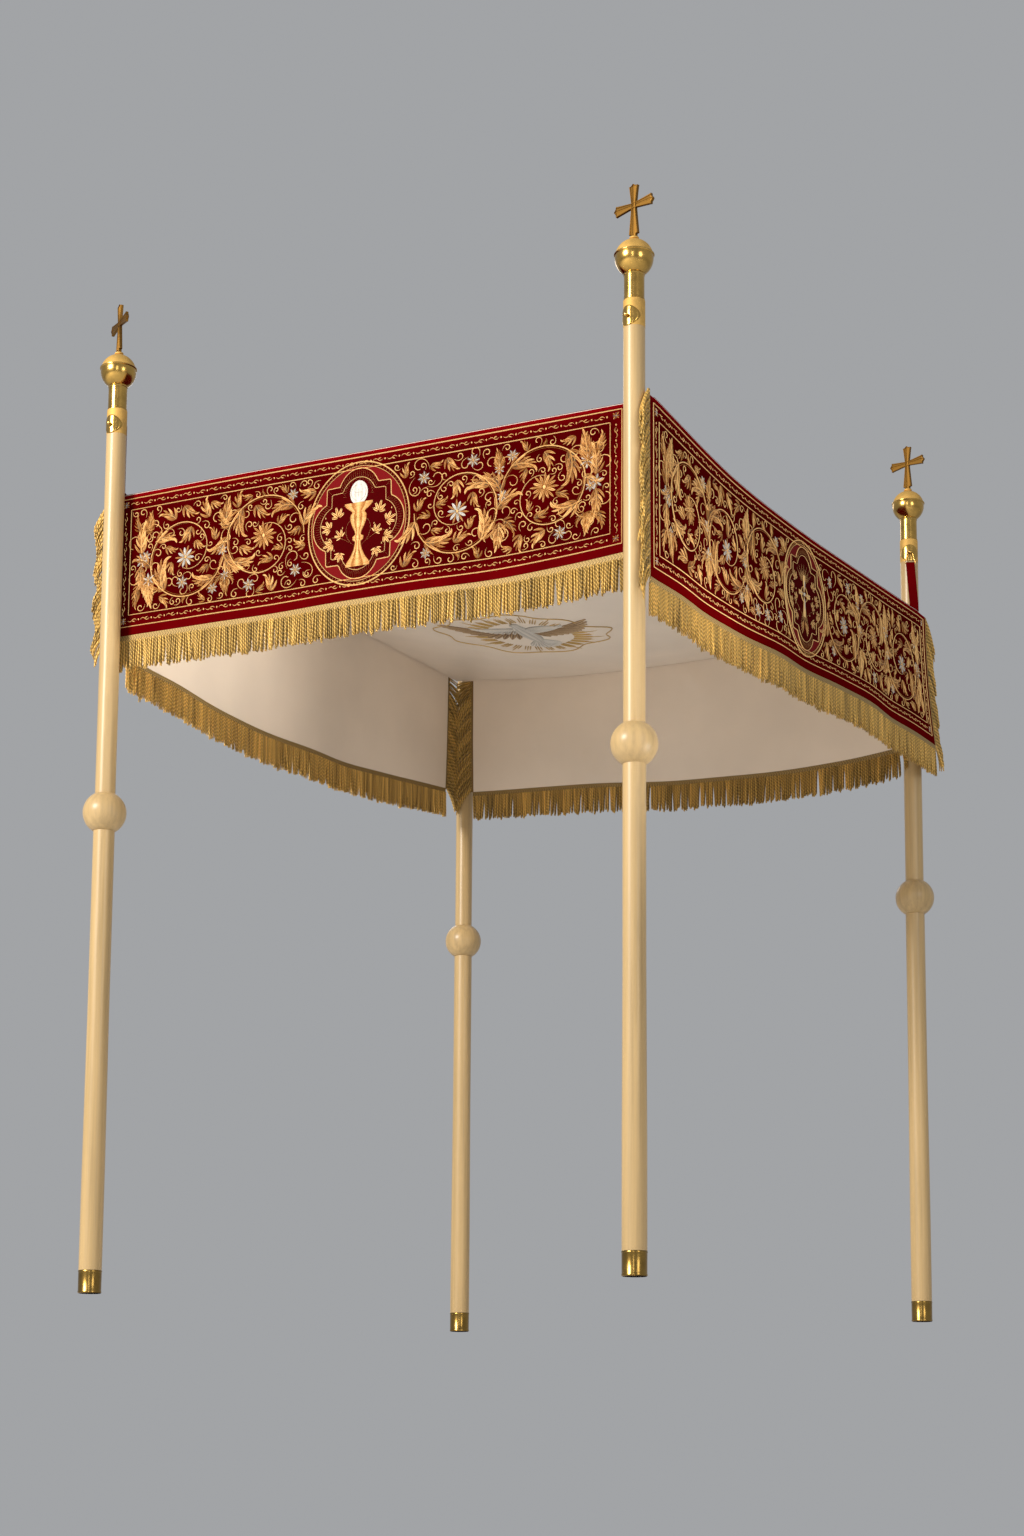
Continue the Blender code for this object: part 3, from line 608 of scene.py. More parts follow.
def velvet_material(looks):
    """Deep crimson pile: dark face on, brighter where it is seen or lit along its surface."""
    material, tree, shader = new_material("crimson_velvet", looks.velvet, 0.8, Sheen_Weight=0.14,
        Sheen_Roughness=0.3, Sheen_Tint=(*looks.velvet_sheen, 1.0), Specular_IOR_Level=0.0)
    nap = noise(tree, (9.0, 9.0, 9.0), 3.0, 0.55)
    pile = noise(tree, (900.0, 900.0, 900.0), 2.0, 0.6)
    crush_and_painted_light = maths(tree, "MULTIPLY_ADD", nap, 0.3, maths(tree, "MULTIPLY", pile, 0.12))
    # The tone adds painted shade over the embroidered field and a painted highlight along the top edge.
    crush_and_painted_light = maths(tree, "ADD", crush_and_painted_light, maths(tree, "SUBTRACT", tone_value(tree), 0.21))
    stops = ((0.15, scaled(looks.velvet, 0.4)), (0.5, looks.velvet), (0.95, scaled(looks.velvet, 2.6)))
    colour_by(tree, shader, crush_and_painted_light, stops)
    bump(tree, shader, pile, 0.35, 0.0008)
    return material


def satin_material(looks):
    """Warm white satin with a fine weave and uneven tension."""
    material, tree, shader = new_material("satin_lining", looks.satin, 0.42, Sheen_Weight=0.15,
        Sheen_Roughness=0.4, Specular_IOR_Level=0.45)
    broad = noise(tree, (3.0, 3.0, 3.0))
    stops = ((0.32, scaled(looks.satin, 0.9)), (0.6, looks.satin), (0.8, scaled(looks.satin, 1.06)))
    colour_by(tree, shader, broad, stops)
    weave = maths(tree, "ADD", stripes(tree, (1.0, 1.0, 1.0), 340.0),
        stripes(tree, (1.0, 1.0, 1.0), 260.0, 0.0, "Y"))
    crease = noise(tree, (5.0, 9.0, 1.0), 5.0, 0.62, "UV")
    bump(tree, shader, maths(tree, "MULTIPLY_ADD", weave, 0.02, crease), 0.25, 0.006)
    return material


def thread_material(name, dark, middle, light, metallic, roughness, scale=420.0):
    """Embroidery thread: tone shades it from dark to light, and fine stitches cross each stroke."""
    material, tree, shader = new_material(name, middle, roughness, metallic, Specular_IOR_Level=0.28)
    speck = noise(tree, (700.0, 700.0, 700.0), 2.0, 0.6)
    value = maths(tree, "MULTIPLY_ADD", maths(tree, "SUBTRACT", speck, 0.5), 0.5, tone_value(tree))
    stops = ((0.05, dark), (0.46, middle), (0.84, light))
    colour_by(tree, shader, value, stops)
    stitch = stripes(tree, (0.6, 1.0, 1.0), scale, 0.6, "DIAGONAL")
    bump(tree, shader, maths(tree, "MULTIPLY_ADD", speck, 0.6, stitch), 0.3, 0.0007)
    return material


def bullion_material(looks):
    """Twisted fringe strands: ridges and grooves wind around each one, with painted highlight on the ridges
    and painted shade in the grooves.
    """
    material, tree, shader = new_material("bullion_fringe", looks.fringe, 0.42, 0.35,
        Specular_IOR_Level=0.5)
    place = add_node(tree, "ShaderNodeTexCoord").outputs["UV"]
    turn = add_node(tree, "ShaderNodeSeparateXYZ", {"Vector": place})
    wound = maths(tree, "MULTIPLY", turn.outputs["Y"], tau / TWIST_PITCH)
    phase = maths(tree, "MULTIPLY_ADD", turn.outputs["X"], tau * 2, wound)
    ridge = maths(tree, "MULTIPLY_ADD", maths(tree, "SINE", phase), 0.5, 0.5)
    # Painted highlight on the twist's ridges and painted shade in its grooves.
    tone = maths(tree, "MULTIPLY_ADD", tone_value(tree), 0.66, maths(tree, "MULTIPLY", ridge, 0.42))
    stops = ((0.1, scaled(looks.fringe, 0.16)), (0.5, scaled(looks.fringe, 0.85)),
        (0.95, scaled(looks.fringe, 2.0)))
    colour_by(tree, shader, tone, stops)
    bump(tree, shader, ridge, 0.8, 0.0012)
    return material


def plain_cloth(name, colour, roughness):
    """Flat appliqué cloth with a fine thread bump."""
    material, tree, shader = new_material(name, colour, roughness, Specular_IOR_Level=0.02)
    fine = noise(tree, (600.0, 600.0, 600.0), 2.0)
    stops = ((0.3, scaled(colour, 0.75)), (0.7, scaled(colour, 1.2)))
    colour_by(tree, shader, fine, stops)
    bump(tree, shader, fine, 0.3, 0.0006)
    return material


def make_materials(looks):
    """Every finish by name."""
    gold, silver, braid = tuple(looks.gold), tuple(looks.silver), tuple(looks.braid)
    return {
        "wood": wood_material(looks),
        # Polished brass is darkened to 0.84 of the brass colour: painted dark reflections of its
        # surroundings.
        "polished": brass_material("polished_brass", scaled(looks.brass, 0.84), 0.21, 40.0),
        "satin_brass": brass_material("satin_brass", scaled(looks.brass, 0.96), 0.66, 30.0, True, 0.55),
        "darkened_brass": brass_material("darkened_brass", DARKENED_CROSS_BRASS, 0.5, 6.0),
        "foot_brass": brass_material("foot_brass", scaled(looks.brass, 0.44), 0.24, 40.0),
        "velvet": velvet_material(looks),
        "satin": satin_material(looks),
        "gold": thread_material("gold_thread", scaled(gold, 0.14), gold, tuple(looks.gold_light), 0.12, 0.42),
        "silver": thread_material("silver_thread", scaled(silver, 0.3), silver, scaled(silver, 1.5),
            0.12, 0.4),
        "grey": thread_material("grey_thread", *GREY_SHADES, 0.0, 0.6),
        "fringe": bullion_material(looks),
        "braid": thread_material("braid_thread", scaled(braid, 0.22), braid, scaled(braid, 2.0),
            0.25, 0.5, 300.0),
        "bright": plain_cloth("bright_satin", tuple(looks.bright), 0.5),
        "dark": plain_cloth("dark_velvet", scaled(looks.velvet, 0.62), 0.9),
    }


MATERIALS = {}


def finish_piece(name, parts, slot, material, nodes=(), sharp=40):
    """Join parts into one mesh and put it in the scene as a piece that stands for some nodes."""
    mesh = make_mesh(name, *join_parts(parts), sharp)
    mesh.materials.append(MATERIALS[material])
    piece = add_object(name, mesh)
    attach(piece, "root")
    if nodes:
        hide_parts(*nodes)
    return piece


def turned_piece(name, profile, key, slot, material, *nodes):
    """A turned piece on a pole's axis, and the node that it stands for."""
    part = with_blank_uv(turned_part(profile, POLE_AXIS[key]))
    finish_piece(name, [part], slot, material, nodes, 38)


# Poles

def make_staffs(key):
    """Lower staff, ball knob and upper staff. Each is a profile turned about the pole's axis."""
    taper_top = STAFF_LOW_TOP - 0.45
    foot = FERRULE_TOP + 0.0005
    lower = [(0, STAFF_LOW_TOP), (GRIP_RADIUS, STAFF_LOW_TOP), (GRIP_RADIUS, taper_top), (FOOT_RADIUS, 0.3),
        (FOOT_RADIUS, foot), (0, foot)]
    turned_piece(f"Staff_Lower_{key}", lower, key, "lacquered_wood", "wood", f"staff_lower_{key}")
    middle = (KNOB_LOW + KNOB_HIGH) / 2
    latitude = degrees(acos(GRIP_RADIUS / KNOB_RADIUS))
    knob = [(0, KNOB_HIGH)] + arc(KNOB_RADIUS, middle, latitude, -latitude, 24) + [(0, KNOB_LOW)]
    turned_piece(f"Ball_Knob_{key}", knob, key, "lacquered_wood", "wood", f"knob_{key}")
    upper = [(0, STAFF_UP_TOP), *offsets(STAFF_RADIUS, STAFF_UP_TOP, (-EDGE, 0), (0, -EDGE)),
        (STAFF_RADIUS, STAFF_UP_LOW), (0, STAFF_UP_LOW)]
    turned_piece(f"Staff_Upper_{key}", upper, key, "lacquered_wood", "wood", f"staff_upper_{key}")
    band = [(0, STAFF_UP_TOP + PROUD), *offsets(STAFF_RADIUS, STAFF_UP_TOP, (-EDGE, PROUD), (PROUD, -EDGE),
        (PROUD, -BAND_DROP)), (0, STAFF_UP_TOP - BAND_DROP)]
    turned_piece(f"Staff_Sleeve_{key}", band, key, "satin_brass", "satin_brass")
    bead = offsets(FOOT_RADIUS, FERRULE_TOP, (0.0002, 0), (0.0008, -0.0008), (0.0008, -0.004),
        (0.0002, -0.0046))
    sole = offsets(FOOT_RADIUS, 0, (0, 0.006), (0.0006, 0.005), (0.0006, 0.0015), (-0.0015, 0))
    ferrule = [(0, FERRULE_TOP), *bead, *sole, (0, 0)]
    turned_piece(f"Foot_Ferrule_{key}", ferrule, key, "polished_brass", "foot_brass", f"foot_ferrule_{key}")


def make_finial(key):
    """Neck with the ball's lower half, and the ball's upper half with the cross's collar."""
    foot = sqrt(BALL_RADIUS ** 2 - NECK_RADIUS ** 2)
    start = degrees(asin((LIP_Z - 0.004 - BALL_Z) / BALL_RADIUS))
    end = -degrees(asin(foot / BALL_RADIUS))
    lip = offsets(LIP_RADIUS, LIP_Z, (-0.0008, 0), (0, -0.001), (0, -0.0024), (-0.0012, -0.0034))
    bead = offsets(NECK_RADIUS, BALL_Z - foot - 0.004, (0.001, 0.001), (0.001, -0.001), (0, -0.002))
    neck = offsets(NECK_RADIUS, NECK_BOTTOM, (0, 0.004), (0.0008, 0.003), (0.0008, 0))
    cup = [(0, LIP_Z), *lip, *arc(BALL_RADIUS, BALL_Z, start, end, 16), *bead, *neck, (0, NECK_BOTTOM)]
    turned_piece(f"Finial_Cup_{key}", cup, key, "polished_brass", "polished", f"finial_cup_{key}")
    collar = 0.011
    start = degrees(acos((collar + 0.002) / BALL_RADIUS))
    end = degrees(asin((DOME_LOW - BALL_Z) / BALL_RADIUS))
    ring = offsets(collar, DOME_TOP, (-0.001, 0), (0, -0.001), (0, -0.004), (-0.002, -0.005))
    dome = [(0, DOME_TOP), *ring, *arc(BALL_RADIUS, BALL_Z, start, end, 16), (0, DOME_LOW)]
    turned_piece(f"Finial_Dome_{key}", dome, key, "satin_brass", "satin_brass", f"finial_dome_{key}")


def cross_bar(lengths, cusped, thick):
    """One bar of a cross as three grids (points along, points around): how far each point lies
    along the bar, across it and out of its plane.

    The half width flares towards each end and closes in a three-pointed tip. Around each ring the
    section is a rectangle with rounded edges and a groove along the middle of both faces.
    """
    reach = np.array((0.0, 0.12, 0.82, 0.9, 0.906, 0.93, 0.96, 1.0))
    half = CROSS_ARM / 2 - 0.0014
    wide = CROSS_TIP / 2
    shape = np.array((half, half, wide * 0.98, wide * 1.08, wide * 0.62, wide * 0.5, wide * 0.3,
        wide * 0.03))
    plain = np.array((half, half, wide * 1.04, wide * 1.1, wide * 0.62, wide * 0.6, wide * 0.6, wide * 0.6))
    fine = np.unique(np.concatenate((np.linspace(0, 1, 8), reach)))
    below, above = (np.interp(fine, reach, shape if tip else plain) for tip in cusped)
    along = np.concatenate((-fine[::-1] * lengths[0], fine[1:] * lengths[1]))
    width = np.concatenate((below[::-1], above[1:]))
    face = np.array(((-1, 0.75), (-0.93, 1.0), (-0.74, 1.0), (-0.66, 0.62), (-0.22, 0.7), (-0.14, 0.45),
        (0.14, 0.45), (0.22, 0.7), (0.66, 0.62), (0.74, 1.0), (0.93, 1.0), (1, 0.75)))
    section = np.concatenate((face, face[::-1] * (1, -1)))
    across = width[:, None] * section[:, 0]
    depth = np.broadcast_to(section[:, 1] * thick / 2, across.shape)
    return np.broadcast_to(along[:, None], across.shape), across, depth


def make_cross(key):
    """Cross of two flared bars with three-pointed ends, turned on its pole."""
    turn = radians(CROSS_TURN[key])
    side = np.array((cos(turn), sin(turn), 0.0))
    face = np.array((-sin(turn), cos(turn), 0.0))
    centre = np.array((*POLE_AXIS[key], CROSS_CENTRE))
    upper = POLE_TOP - CROSS_CENTRE
    lower = CROSS_CENTRE - CROSS_BASE
    parts = []
    bars = ((UP, side, (lower, upper), (False, True), CROSS_THICK),
        (side, UP, (CROSS_SPAN / 2, CROSS_SPAN / 2), (True, True), CROSS_THICK - 0.0006))
    for run, wide, lengths, cusped, thick in bars:
        along, across, depth = cross_bar(lengths, cusped, thick)
        rings = centre + along[..., None] * run + across[..., None] * wide + depth[..., None] * face
        parts.append(tube_part(rings, along[:, 0]))
    finish_piece(f"Cross_{key}", parts, "satin_brass", "darkened_brass", [f"cross_{key}"], 30)


def facing_ways(key):
    """Level unit vector that a pole's boss faces along, and the one across it."""
    angle = radians(BOSS_FACING[key])
    return np.array((cos(angle), sin(angle), 0.0)), np.array((-sin(angle), cos(angle), 0.0))


def plate_part(key, facing, across):
    """Round plate bent around the staff: a disc whose points lie on the staff's circle, with a
    rim that rolls down to the wood."""
    rings = np.array((0.0, 0.35, 0.65, 0.86, 0.95, 1.0, 1.0))
    lift = np.array((1.25, 1.2, 1.1, 1.0, 1.0, 0.75, 0.0)) * PLATE_THICK
    turn = full_turn(40)
    flat = rings[1:, None] * PLATE_RADIUS
    sideways = flat * np.cos(turn)
    height = flat * np.sin(turn)
    radius = STAFF_RADIUS + 0.0002 + lift[1:, None]
    deep = np.sqrt(np.clip(radius ** 2 - np.clip(sideways, -radius, radius) ** 2, 0, None))
    base = np.array((*POLE_AXIS[key], BOSS_Z))
    points = base + sideways[..., None] * across + deep[..., None] * facing + height[..., None] * UP
    inner = base + facing * (STAFF_RADIUS - 0.004)
    outer = base + facing * (STAFF_RADIUS + 0.0002 + lift[0])
    return fanned_rings(points, outer, inner)


def stud_part(centre, facing, across, profile, steps=24):
    """A turned stud about a level axis: a profile of (radius, reach) from its tip inward."""
    points, faces = turned_part(profile, np.zeros(2), steps)
    world = (np.array(centre) + points[:, :1] * across + points[:, 1:2] * UP + points[:, 2:] * facing)
    return world, faces


def with_blank_uv(part, tone=0.5):
    """A part of points and faces with empty UVs and one tone, ready to join."""
    points, faces = part[:2]
    return points, faces, [np.zeros((*group.shape, 2)) for group in faces], tone


def make_boss(key):
    """Bent round plate with a headed knob in its centre."""
    facing, across = facing_ways(key)
    base = (*POLE_AXIS[key], BOSS_Z)
    head = RING_REACH + RING_WIRE + 0.0008
    profile = [(0, head + 0.004), (STUD_HEAD * 0.55, head + 0.0036), (STUD_HEAD * 0.9, head + 0.0024),
        (STUD_HEAD, head + 0.0012), (STUD_HEAD * 0.9, head), (STUD_NECK, head - 0.0004),
        (STUD_NECK, STAFF_RADIUS), (0, STAFF_RADIUS)]
    parts = [with_blank_uv(plate_part(key, facing, across)),
        with_blank_uv(stud_part(base, facing, across, profile))]
    finish_piece(f"Boss_{key}", parts, "polished_brass", "polished", [f"boss_{key}"], 50)
    if key not in HUNG_ON_RING:
        reach = STAFF_RADIUS + 0.0036
        profile = [(0, reach + 0.002), (STUD_HEAD * 0.8, reach + 0.0016), (STUD_HEAD, reach + 0.0008),
            (STUD_HEAD, reach), (STUD_NECK, reach), (STUD_NECK, STAFF_RADIUS - 0.003),
            (0, STAFF_RADIUS - 0.003)]
        parts = [with_blank_uv(stud_part(base, *INWARD, profile))]
        finish_piece(f"Strap_Stud_{key}", parts, "polished_brass", "polished", (), 50)


def wire_piece(name, path, radius, around, beside, run, tone, *finish):
    """Round wire carried along a closed path: its rings lie square to the path. They start in the
    direction beside, or level and across the path where that is None."""
    ahead = unit(np.roll(path, -1, axis=0) - np.roll(path, 1, axis=0))
    first = unit(np.cross(ahead, UP)) if beside is None else np.broadcast_to(beside, ahead.shape)
    second = np.cross(ahead, first)
    turn = full_turn(around)[:, None]
    rings = path[:, None] + radius * (np.cos(turn) * first[:, None] + np.sin(turn) * second[:, None])
    finish_piece(name, [tube_part(rings, np.linspace(0, run, len(path)), tone, True)], *finish)


def make_ring(key):
    """D-ring on the boss knob: round wire carried along an arch with a straight bar at its foot."""
    facing, across = facing_ways(key)
    top = BOSS_Z + STUD_NECK + RING_WIRE + 0.0003
    bend = 0.0062
    half = BAR_WIDTH / 2
    corner = 0.003
    arch = [(bend * cos(a), top - bend + bend * sin(a)) for a in np.linspace(0.25, pi - 0.25, 15)]
    quarter = np.linspace(0, pi / 2, 6)
    left = [(-half + corner - corner * cos(a), BAR_Z + corner - corner * sin(a)) for a in quarter]
    right = [(half - corner + corner * sin(a), BAR_Z + corner - corner * cos(a)) for a in quarter]
    outline = np.array(arch + left + right)
    base = np.array((*POLE_AXIS[key], 0.0)) + facing * RING_REACH
    path = base + outline[:, :1] * across + outline[:, 1:] * UP
    wire_piece(f"Hanging_Ring_{key}", path, RING_WIRE, 12, facing, 0.1, 0.5, "polished_brass", "polished",
        [f"ring_{key}"])


def make_strap(key):
    """Velvet strap: a thin ribbon section carried along the strap's side view.

    On a ring it runs up the front, around the bar and down the back. On a stud it is one layer.
    """
    floor = node_levels(f"strap_{key}")[0] + STRAP_CLOTH / 2
    if key in HUNG_ON_RING:
        facing, across = facing_ways(key)
        loop = RING_WIRE + SEAM_GAP + STRAP_CLOTH / 2
        side_view = [(RING_REACH + STRAP_FOOT, floor), (RING_REACH + loop + 0.004, floor),
            (RING_REACH + loop, floor + 0.003), (RING_REACH + loop + 0.0006, (floor + BAR_Z) / 2)]
        side_view += [(RING_REACH + loop * cos(a), BAR_Z + loop * sin(a)) for a in np.linspace(0, pi, 13)]
        side_view += [(RING_REACH - loop + 0.0006, (floor + BAR_Z) / 2), (RING_REACH - loop, floor + 0.002)]
    else:
        facing, across = INWARD
        near = STAFF_RADIUS + 0.002
        side_view = [(near + STRAP_FOOT, floor), (near + 0.004, floor), (near, floor + 0.003),
            (near, BOSS_Z + 0.01)]
    path, at, length = spread(np.array(side_view), 90)
    ahead = unit(np.gradient(path, axis=0))
    normal = np.stack((-ahead[:, 1], ahead[:, 0]), axis=-1)
    section = np.array(((-1, -0.4), (-0.97, 0.8), (-0.8, 1), (0, 1), (0.8, 1), (0.97, 0.8), (1, -0.4),
        (0.97, -0.8), (0.8, -1), (0, -1), (-0.8, -1), (-0.97, -0.8)))
    sideways = section[:, 0] * STRAP_WIDTH / 2
    depth = section[:, 1] * STRAP_CLOTH / 2
    place = path[:, None] + depth[:, None] * normal[:, None]
    drift = STRAP_DRIFT[key] * np.clip((BAR_Z - place[..., 1]) / (BAR_Z - 2.02), 0, 1)
    base = np.array((*POLE_AXIS[key], 0.0))
    rings = (base + place[..., :1] * facing + place[..., 1:] * UP + (sideways + drift)[..., None] * across)
    piece = finish_piece(f"Strap_{key}", [tube_part(rings, at)], "crimson_velvet", "velvet",
        [f"strap_{key}"])


# Cloth

def make_velvet(side):
    """A side's velvet: a grid of the side surface, closed to its thickness."""
    low, high = along_range(side)
    along = np.linspace(low, high, 101)
    down = (np.linspace(0, 1, 23) ** 1.15)[:, None]
    inner = side_surface(side, along, down)
    outer = inner + outward(side) * VELVET
    uv = stacked(along, -down * DESIGN_HEIGHT)
    from_end = np.minimum(along - low, high - along)
    from_edge = np.minimum(down * DESIGN_HEIGHT - LINE_TOP, (1 - down) * DESIGN_HEIGHT - LINE_BOTTOM)
    inside = np.clip(np.minimum(from_end - LINE_SIDE, from_edge) / BAND, 0, 1)
    # Tone: painted shade darkens the embroidered field inside the border, and a narrow painted highlight
    # lightens the top edge.
    tone = 0.5 - 0.26 * inside + 0.3 * np.exp(-((down * DESIGN_HEIGHT / 0.004) ** 2))
    part = (*sheet_part(outer, inner, uv), np.concatenate((tone.ravel(), tone.ravel())))
    return finish_piece(f"Velvet_{side}", [part], "crimson_velvet", "velvet", [f"velvet_{side}"])


def ridge(x, y, place, angle, length, width, height):
    """A soft straight crease: a bell across its line, faded along it."""
    turn = radians(angle)
    along = (x - place[0]) * cos(turn) + (y - place[1]) * sin(turn)
    across = -(x - place[0]) * sin(turn) + (y - place[1]) * cos(turn)
    return height * np.exp(-(across / width) ** 2) * np.exp(-(along / length) ** 4)


def make_lining(side):
    """A side's lining: the side surface with soft pulls and creases, closed to its thickness."""
    low, high = along_range(side)
    along = np.linspace(low + 0.002, high - 0.002, 101)
    down = np.linspace(0, 1, 25)[:, None]
    chance = np.random.RandomState(len(side) * 7 + 3)
    pull = np.zeros(np.broadcast(along, down).shape)
    for _ in range(16):
        place = (chance.uniform(low, high), chance.uniform(0.0, DESIGN_HEIGHT))
        angle = chance.uniform(50, 130)
        pull += ridge(along, down * DESIGN_HEIGHT, place, angle, chance.uniform(0.08, 0.2),
            chance.uniform(0.013, 0.026), chance.uniform(-0.0016, 0.0046))
    pull = np.clip(pull, -0.0008, 0.006) * np.clip(np.minimum(down, 1 - down) * 12, 0, 1)
    outer = side_surface(side, along, down) - outward(side) * (SEAM_GAP + pull.clip(0)[..., None])
    inner = outer - outward(side) * LINING
    uv = stacked(along, -down * DESIGN_HEIGHT)
    part = (*sheet_part(outer, inner, uv), 0.5)
    return finish_piece(f"Lining_{side}", [part], "satin_lining", "satin", [f"lining_{side}"])


def ceiling_pull(x, y):
    """Extra depth of the ceiling's satin: creases that run in from its corners and edges."""
    chance = np.random.RandomState(41)
    depth = np.zeros(np.broadcast(x, y).shape)
    for _ in range(26):
        place = (chance.uniform(-0.6, 0.6), chance.uniform(-0.8, 0.8))
        angle = degrees(np.arctan2(place[1], place[0])) + chance.uniform(-25, 25)
        depth = depth + ridge(x, y, place, angle, chance.uniform(0.12, 0.3), chance.uniform(0.012, 0.03),
            chance.uniform(-0.002, 0.0035))
    u = roof_share("x", x)
    v = roof_share("y", y)
    return depth * np.clip(12 * np.minimum(np.minimum(u, 1 - u), np.minimum(v, 1 - v)), 0, 1)


def ceiling_surface(x, y):
    """Height of the ceiling's lower face."""
    return roof_height(x, y) + 0.0003 + ceiling_pull(x, y)


def roof_lines(axis, cells):
    """Grid places across the roof along an axis, with two lines over each hem."""
    low, high = roof_range(axis)
    inside = np.linspace(low + HEM, high - HEM, cells)
    return np.concatenate(([low, low + HEM / 2], inside, [high - HEM / 2, high]))


def make_roof():
    """Ceiling satin below and a plain velvet cover above it, both on the roof's height."""
    x, y = roof_lines("x", 64), roof_lines("y", 80)[:, None]
    low = ceiling_surface(x, y)
    middle = low + ROOF * 0.45
    top = middle + ROOF * 0.55
    uv = stacked(x, y)
    pieces = []
    layers = (("Ceiling", low, middle, "satin_lining", "satin"),
        ("Roof_Cover", middle + 0.00005, top, "crimson_velvet", "velvet"))
    for name, under, over, slot, material in layers:
        grids = (stacked(x + CENTRE[0], y + CENTRE[1], z) for z in (over, under))
        pieces.append(finish_piece(name, [(*sheet_part(*grids, uv), 0.5)], slot, material, ["roof"]))
    return pieces


def make_ceiling_cord():
    """Fine satin cord where the ceiling meets the linings: a round section carried along the
    rectangle just inside the sides."""
    inset = VELVET + LINING + SEAM_GAP + 0.0035
    (left, right), (front, back) = roof_range("x"), roof_range("y")
    corners = np.array(((left, front), (right, front), (right, back), (left, back)))
    ring = corners + np.array(((1, 1), (-1, 1), (-1, -1), (1, -1))) * inset
    edges = [np.linspace(ring[k], ring[(k + 1) % 4], 120, endpoint=False) for k in range(4)]
    plan = np.concatenate(edges)
    z = ceiling_surface(plan[:, 0], plan[:, 1]) - 0.0018
    path = np.column_stack((plan[:, 0] + CENTRE[0], plan[:, 1] + CENTRE[1], z))
    wire_piece("Ceiling_Cord", path, 0.0012, 6, None, 6.4, 0.7, "satin_lining", "satin")


# Embroidery strokes

# Tapers: powers of the way from a stroke's start and from its end
STEM = (0.1, 0.3)
LEAF = (0.55, 0.75)
PETAL = (0.8, 0.35)
LOBE = (0.62, 0.52)
CLUB = (0.3, 0.07)
EVEN = (0.04, 0.04)
# How deep a stroke's underside lies below the pile
SINK = 0.0006
# Sections of a stroke: place across it, height, and how much lighter or darker it is there: painted highlight
# on the crests, painted shade at the edges and in the middle groove
SECTIONS = {
    "thin": np.array(((-1.0, -0.1, -0.42), (0.0, 1.0, 0.2), (1.0, -0.1, -0.42))),
    "broad": np.array(((-1.0, -0.1, -0.5), (-0.52, 1.0, 0.22), (0.0, 0.5, -0.34), (0.52, 1.0, 0.22),
                       (1.0, -0.1, -0.5))),
}
# Smallest length, smallest half width, smallest turn, section and points along it
STROKE_KINDS = ((0.0, 0.0, 3.2, "thin", 13), (0.02, 0.0021, 0.0, "broad", 6), (0.034, 0.0, 0.0, "thin", 8),
                (0.0, 0.0, 0.0, "thin", 5))


